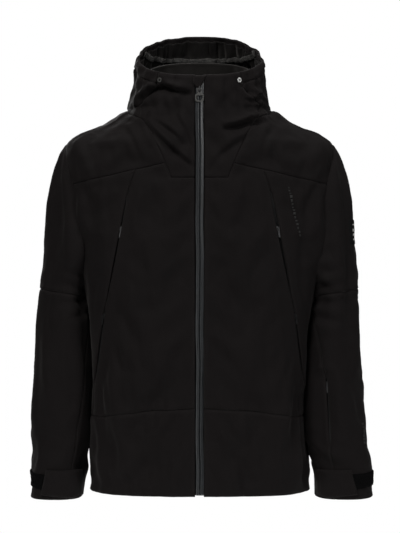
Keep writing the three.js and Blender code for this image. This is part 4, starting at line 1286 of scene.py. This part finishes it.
def film_half(side):
    """One half of the water-resistant front zip: film rolled over the coil, with a lip at the middle."""
    sections = [
        (0.25, 1.5), (0.3, 0.2), (0.9, -0.75), (2.2, -1.35), (3.6, -1.2), (4.6, -0.25), (6.0, 0.1), (7.3, 0.25),
        (7.8, 1.2), (7.4, 2.2), (0.6, 2.2),
    ]
    n = int(ZIP_LENGTH / (3))
    points, uv = [], []
    for i in range(n + 1):
        z = ZIP_LENGTH * i / n
        ridge = 0.10 * math.sin(z / 1.6 * 2)
        sway = 0.45 * float(zip_waves(np.array([[0, 0, z]]))[0])
        for k, (x, y) in enumerate(sections):
            points.append((side * x + sway, y + (ridge if 1 < k < 5 else 0), z))
            uv.append((x, z))
    m = len(sections)
    faces = grid_faces(n + 1, m, wrap=True)
    faces += [tuple(range(m)), tuple(n * m + k for k in range(m))[::-1]]
    return frame_points(ZIP_ORIGIN, FRONT_UP, FRONT_IN, points), faces, np.array(uv)


for side, word in ((1, "left"), (-1, "right")):
    name = f"front_zip_tape_{word}"
    points, faces, uv = film_half(side)
    make(f"{name}_film", points, faces, "zip_tape", "coat", uv, None, [name])

# the placket behind the front zip
PLACKET = [(-13.5, 6.4), (-4, 5.6), (4, 5.6), (13.5, 6.4)]
flat = np.array([(x + 0.5 * math.sin(i / 7), y, ZIP_LENGTH * i / 99) for i in range(100) for x, y in PLACKET])
placed = frame_points(ZIP_ORIGIN, FRONT_UP, FRONT_IN, flat)
placket = make("zip_placket", placed, grid_faces(100, 4), "shell", "coat", flat[:, [0, 2]], None)
thicken(placket, 1.6)

# the pocket zips: where each starts, the way it runs, the way it faces in, its length and its body
POCKETS = {"forearm_pocket": (
    (POCKET_X, -65.25, SLOT_LOW), (0, -0.0088, 1), (0.4861, 0.8739, 0.0077), 128.0, "forearm_left",
)}
for side, word in ((1, "left"), (-1, "right")):
    for kind, foot, up, inwards, length in (
        ("chest_pocket", (180, -103.35, 392), (-0.1957, -0.0677, 0.9783), (-0.289, 0.9573, 0.0084), 214.65),
        ("hand_pocket", (205, -59.33, 232), (-0.1391, -0.2670, 0.9536), (-0.8083, 0.5870, 0.0465), 151.0),
    ):
        mirrored = [(side * x, y, z) for x, y, z in (foot, up, inwards)]
        POCKETS[f"{kind}_{word}"] = (*mirrored, length, "coat")

for name, (foot, up, inwards, length, body_name) in POCKETS.items():
    points, faces, uv = [], [], []
    turns = int(length / (1.15))
    for i in range(turns):
        z = length * (i + 0.5) / turns
        for side in (1, -1):
            k = len(points)
            for dx, dz in ((0.1, -0.33), (2.2, -0.33), (2.2, 0.33), (0.1, 0.33)):
                points.append((side * dx, 1.1, z + dz + 0.25 * side))
            points.append((side * 1.0, 0.1, z + 0.25 * side))
            uv += [(p[0], p[2]) for p in points[k:]]
            faces += [(k + e, k + (e + 1) % 4, k + 4) for e in range(4)] + [(k + 3, k + 2, k + 1, k)]
    k = len(points)
    for i in range(25):
        for x, y in ((-7, 2.6), (-2.4, 1.2), (2.4, 1.2), (7, 2.6)):
            points.append((x, y, length * i / 24))
            uv.append((x, length * i / 24))
    faces += [tuple(k + v for v in f) for f in grid_faces(25, 4)]
    placed = frame_points(foot, up, inwards, points)
    make(f"{name}_coil", placed, faces, "coil", body_name, np.array(uv), None, [f"{name}_zip"])

# the flap over the top of the front zip
flap = Panel(body, [
    (front_line(body, [(-11.5, CHIN), (-12.5, CHIN - 16)], 2), "edge"),
    (front_line(body, [(-12.5, CHIN - 16), (-6, CHIN - 24), (2, CHIN - 25), (7, CHIN - 14)], 2), "edge+"),
    (front_line(body, [(7, CHIN - 14), (13.5, CHIN)], 2), "edge"),
    (front_line(body, [(13.5, CHIN), (-11.5, CHIN)], 2), "edge"),
], out=3.4, grid=2.0)
flap.build("zip_garage_cloth", "coat", ["zip_garage"], thick=1.8)
coat_stitches.add(flap, 2.0, length=1.8, wide=0.3)

# ---------- bar tacks, label, prints ----------
def tack(centre, direction, long=10, out=0.4):
    """A dense bar of stitches across the end of a pocket."""
    d = np.array(direction, float) / np.hypot(*direction)
    n = np.array([-d[1], d[0]])
    for i in range(int(long / 0.7)):
        c = np.array(centre) + d * (i * 0.7 - long / 2)
        a, b = c - n * 1.5, c + n * 1.5
        us = body.u_front([a[0], b[0]], [a[1], b[1]])
        ends = body.at(us, [a[1], b[1]], out)
        coat_stitches.lay(ends[:1], ends[1:], body.normal(us[:1], [a[1]]), 0.4)


for side in (1, -1):
    for (x, z), fall in ((CHEST_TOP, 210), (CHEST_FOOT, 210), (HAND_TOP, 144), (HAND_FOOT, 144)):
        tack((side * x, z), (-fall, 20 * side))
coat_stitches.build("stitching_coat", "coat")
hood_pieces.append(hood_stitches.build("stitching_hood", None))


def blocks(name, surface, cells, out, look, body_name):
    """Thin raised blocks, each given by (x, z) corners in front view or (u, z) corners."""
    points, faces = [], []
    for cell, drawn in cells:
        cell = np.array(cell, float)
        us = surface.u_front(cell[:, 0], cell[:, 1]) if drawn else cell[:, 0]
        n = 5
        k = len(points)
        a, b, c, d = (np.array([us[i], cell[i, 1]]) for i in range(4))
        for i in range(n):
            for j in range(n):
                s, t = i / (n - 1), j / (n - 1)
                q = (1 - s) * ((1 - t) * a + t * d) + s * ((1 - t) * b + t * c)
                points.append(surface.at([q[0]], [q[1]], out)[0])
        for i in range(n - 1):
            for j in range(n - 1):
                faces.append((k + i * n + j, k + (i + 1) * n + j, k + (i + 1) * n + j + 1, k + i * n + j + 1))
    obj = make(name, np.array(points), faces, look, body_name, np.array(points)[:, [0, 2]], None)
    thicken(obj, 0.25)
    return obj


rng = random.Random(4)
cells = []
z = 612.0
while z > 516:
    tall = rng.uniform(2, 6)
    x0 = 171 + (614 - z) * 0.24
    wide = rng.uniform(3, 6)
    cells.append((((x0, z - tall), (x0 + wide, z - tall), (x0 + wide, z), (x0, z)), True))
    z -= tall + 2.4
blocks("chest_print", body, cells, 1.1, "ink", "coat")
cells = []
z = 150.0
while z > 112:
    tall = rng.uniform(3, 7)
    cells.append((((320, z - tall), (325, z - tall), (325, z), (320, z)), True))
    z -= tall + 2
blocks("forearm_print", arms["left"], cells, 1.1, "ink", "forearm_left")

label_low = front_u(arms["left"], 297, 501)
label_far = 0.46
label = Panel(arms["left"], [
    (level_line(label_low, label_far, 501, 501), "edge"),
    ([(label_far, 501), (label_far, 551)], "edge"),
    (level_line(label_far, label_low, 551, 551), "edge"),
    ([(label_low, 551), (label_low, 501)], "edge"),
], out=1.7, grid=2.4)
label_obj = label.build("arm_label_cloth", None, ["arm_label"], "label", "label", 0.8)
cells = []
for row_z, tall in ((539, 7), (527, 5), (518, 5), (507, 6)):
    u = label_low + 0.03
    while u < label_far - 0.05:
        wide = rng.uniform(0.012, 0.05)
        cells.append((((u, row_z), (u + wide, row_z), (u + wide, row_z + tall), (u, row_z + tall)), False))
        u += wide + 0.014
label_blocks = blocks("arm_label_blocks", arms["left"], cells, 2.0, "white", None)

# ---------- carried-over metal ----------
for name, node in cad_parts.items():
    if node.hide_render:
        continue
    bright = "eyelet" in name or name == "front_zip_pull"
    node.data.materials.clear()
    node.data.materials.append(LOOKS["eyelet" if bright else "zip_metal"])
    bevel = node.modifiers.new("worn_edges", "BEVEL")
    bevel.width = 0.00022
    bevel.segments = 2
    bevel.limit_method = "ANGLE"

# ---------- each piece's placement baked into its mesh ---
for piece in hood_pieces:
    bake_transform(piece)
for word, s in ARMS.items():
    upper, fore, upper_thread, fore_thread, wall_obj = sleeve_pieces[word]
    for piece in (upper, upper_thread, wall_obj, *((label_obj, label_blocks) if s > 0 else ())):
        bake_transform(piece)
    for piece in (fore, fore_thread):
        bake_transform(piece)

# ---------- floor, light, camera ----------
floor = bpy.data.meshes.new("floor")
n = 64
turns = [2 * math.pi * k / n for k in range(n)]
floor.from_pydata([(math.cos(a), math.sin(a) - 0.05, -1.03) for a in turns], [], [tuple(range(n))])
floor_obj = bpy.data.objects.new("floor", floor)
bpy.context.scene.collection.objects.link(floor_obj)
m = Nodes("floor_paint", 0.95, 0.1)
grain = m.node("ShaderNodeTexNoise", Scale=9.0, Detail=3.0)
m.shader.inputs["Emission Color"].default_value = (1, 1, 1, 1)
m.shader.inputs["Emission Strength"].default_value = 0.3
floor.materials.append(m.finish(m.ramp(grain.outputs["Fac"], (0.3, (0.90,) * 3), (0.7, (0.93,) * 3))))

world = bpy.data.worlds.new("studio")
bpy.context.scene.world = world
world.use_nodes = True
tree = world.node_tree
back, glow = tree.nodes["Background"], tree.nodes.new("ShaderNodeBackground")
back.inputs["Color"].default_value = (1, 1, 1, 1)
back.inputs["Strength"].default_value = 1.0
glow.inputs["Color"].default_value = (1, 0.985, 0.97, 1)
glow.inputs["Strength"].default_value = 0.08
path, mix = tree.nodes.new("ShaderNodeLightPath"), tree.nodes.new("ShaderNodeMixShader")
tree.links.new(path.outputs["Is Camera Ray"], mix.inputs[0])
tree.links.new(glow.outputs[0], mix.inputs[1])
tree.links.new(back.outputs[0], mix.inputs[2])
tree.links.new(mix.outputs[0], tree.nodes["World Output"].inputs["Surface"])


def lamp(name, place, target, size, power, colour=(1, 1, 1)):
    light = bpy.data.lights.new(name, "AREA")
    light.shape = "RECTANGLE"
    light.size, light.size_y = size
    light.energy = power
    light.color = colour
    obj = bpy.data.objects.new(name, light)
    obj.location = place
    obj.rotation_euler = (Vector(target) - Vector(place)).to_track_quat("-Z", "Y").to_euler()
    bpy.context.scene.collection.objects.link(obj)


lamp("key_light", (-0.9, -2.1, 2.1), (0, 0, -0.25), (0.8, 0.8), 62, (1, 0.985, 0.96))
lamp("second_light", (1.9, -1.9, 1.0), (0, 0, -0.35), (0.6, 1.2), 26)
lamp("low_light", (-1.2, -2.6, -0.6), (0, 0, -0.4), (0.8, 1.2), 6)
lamp("top_light", (0.1, 0.4, 1.9), (0, 0, -0.1), (1.2, 0.9), 12)
lamp("back_light", (-1.2, 2.6, 1.2), (0, 0, -0.3), (1.4, 1.4), 40)

camera = bpy.data.cameras.new("camera")
camera.lens = 108
camera.sensor_width = 36
camera.dof.use_dof = False
camera_obj = bpy.data.objects.new("camera", camera)
camera_obj.location = (0.001, -3.28, -0.320)
camera_obj.rotation_euler = (math.pi / 2, 0, 0)
bpy.context.scene.collection.objects.link(camera_obj)
bpy.context.scene.camera = camera_obj
bpy.context.scene.view_settings.view_transform = "Standard"
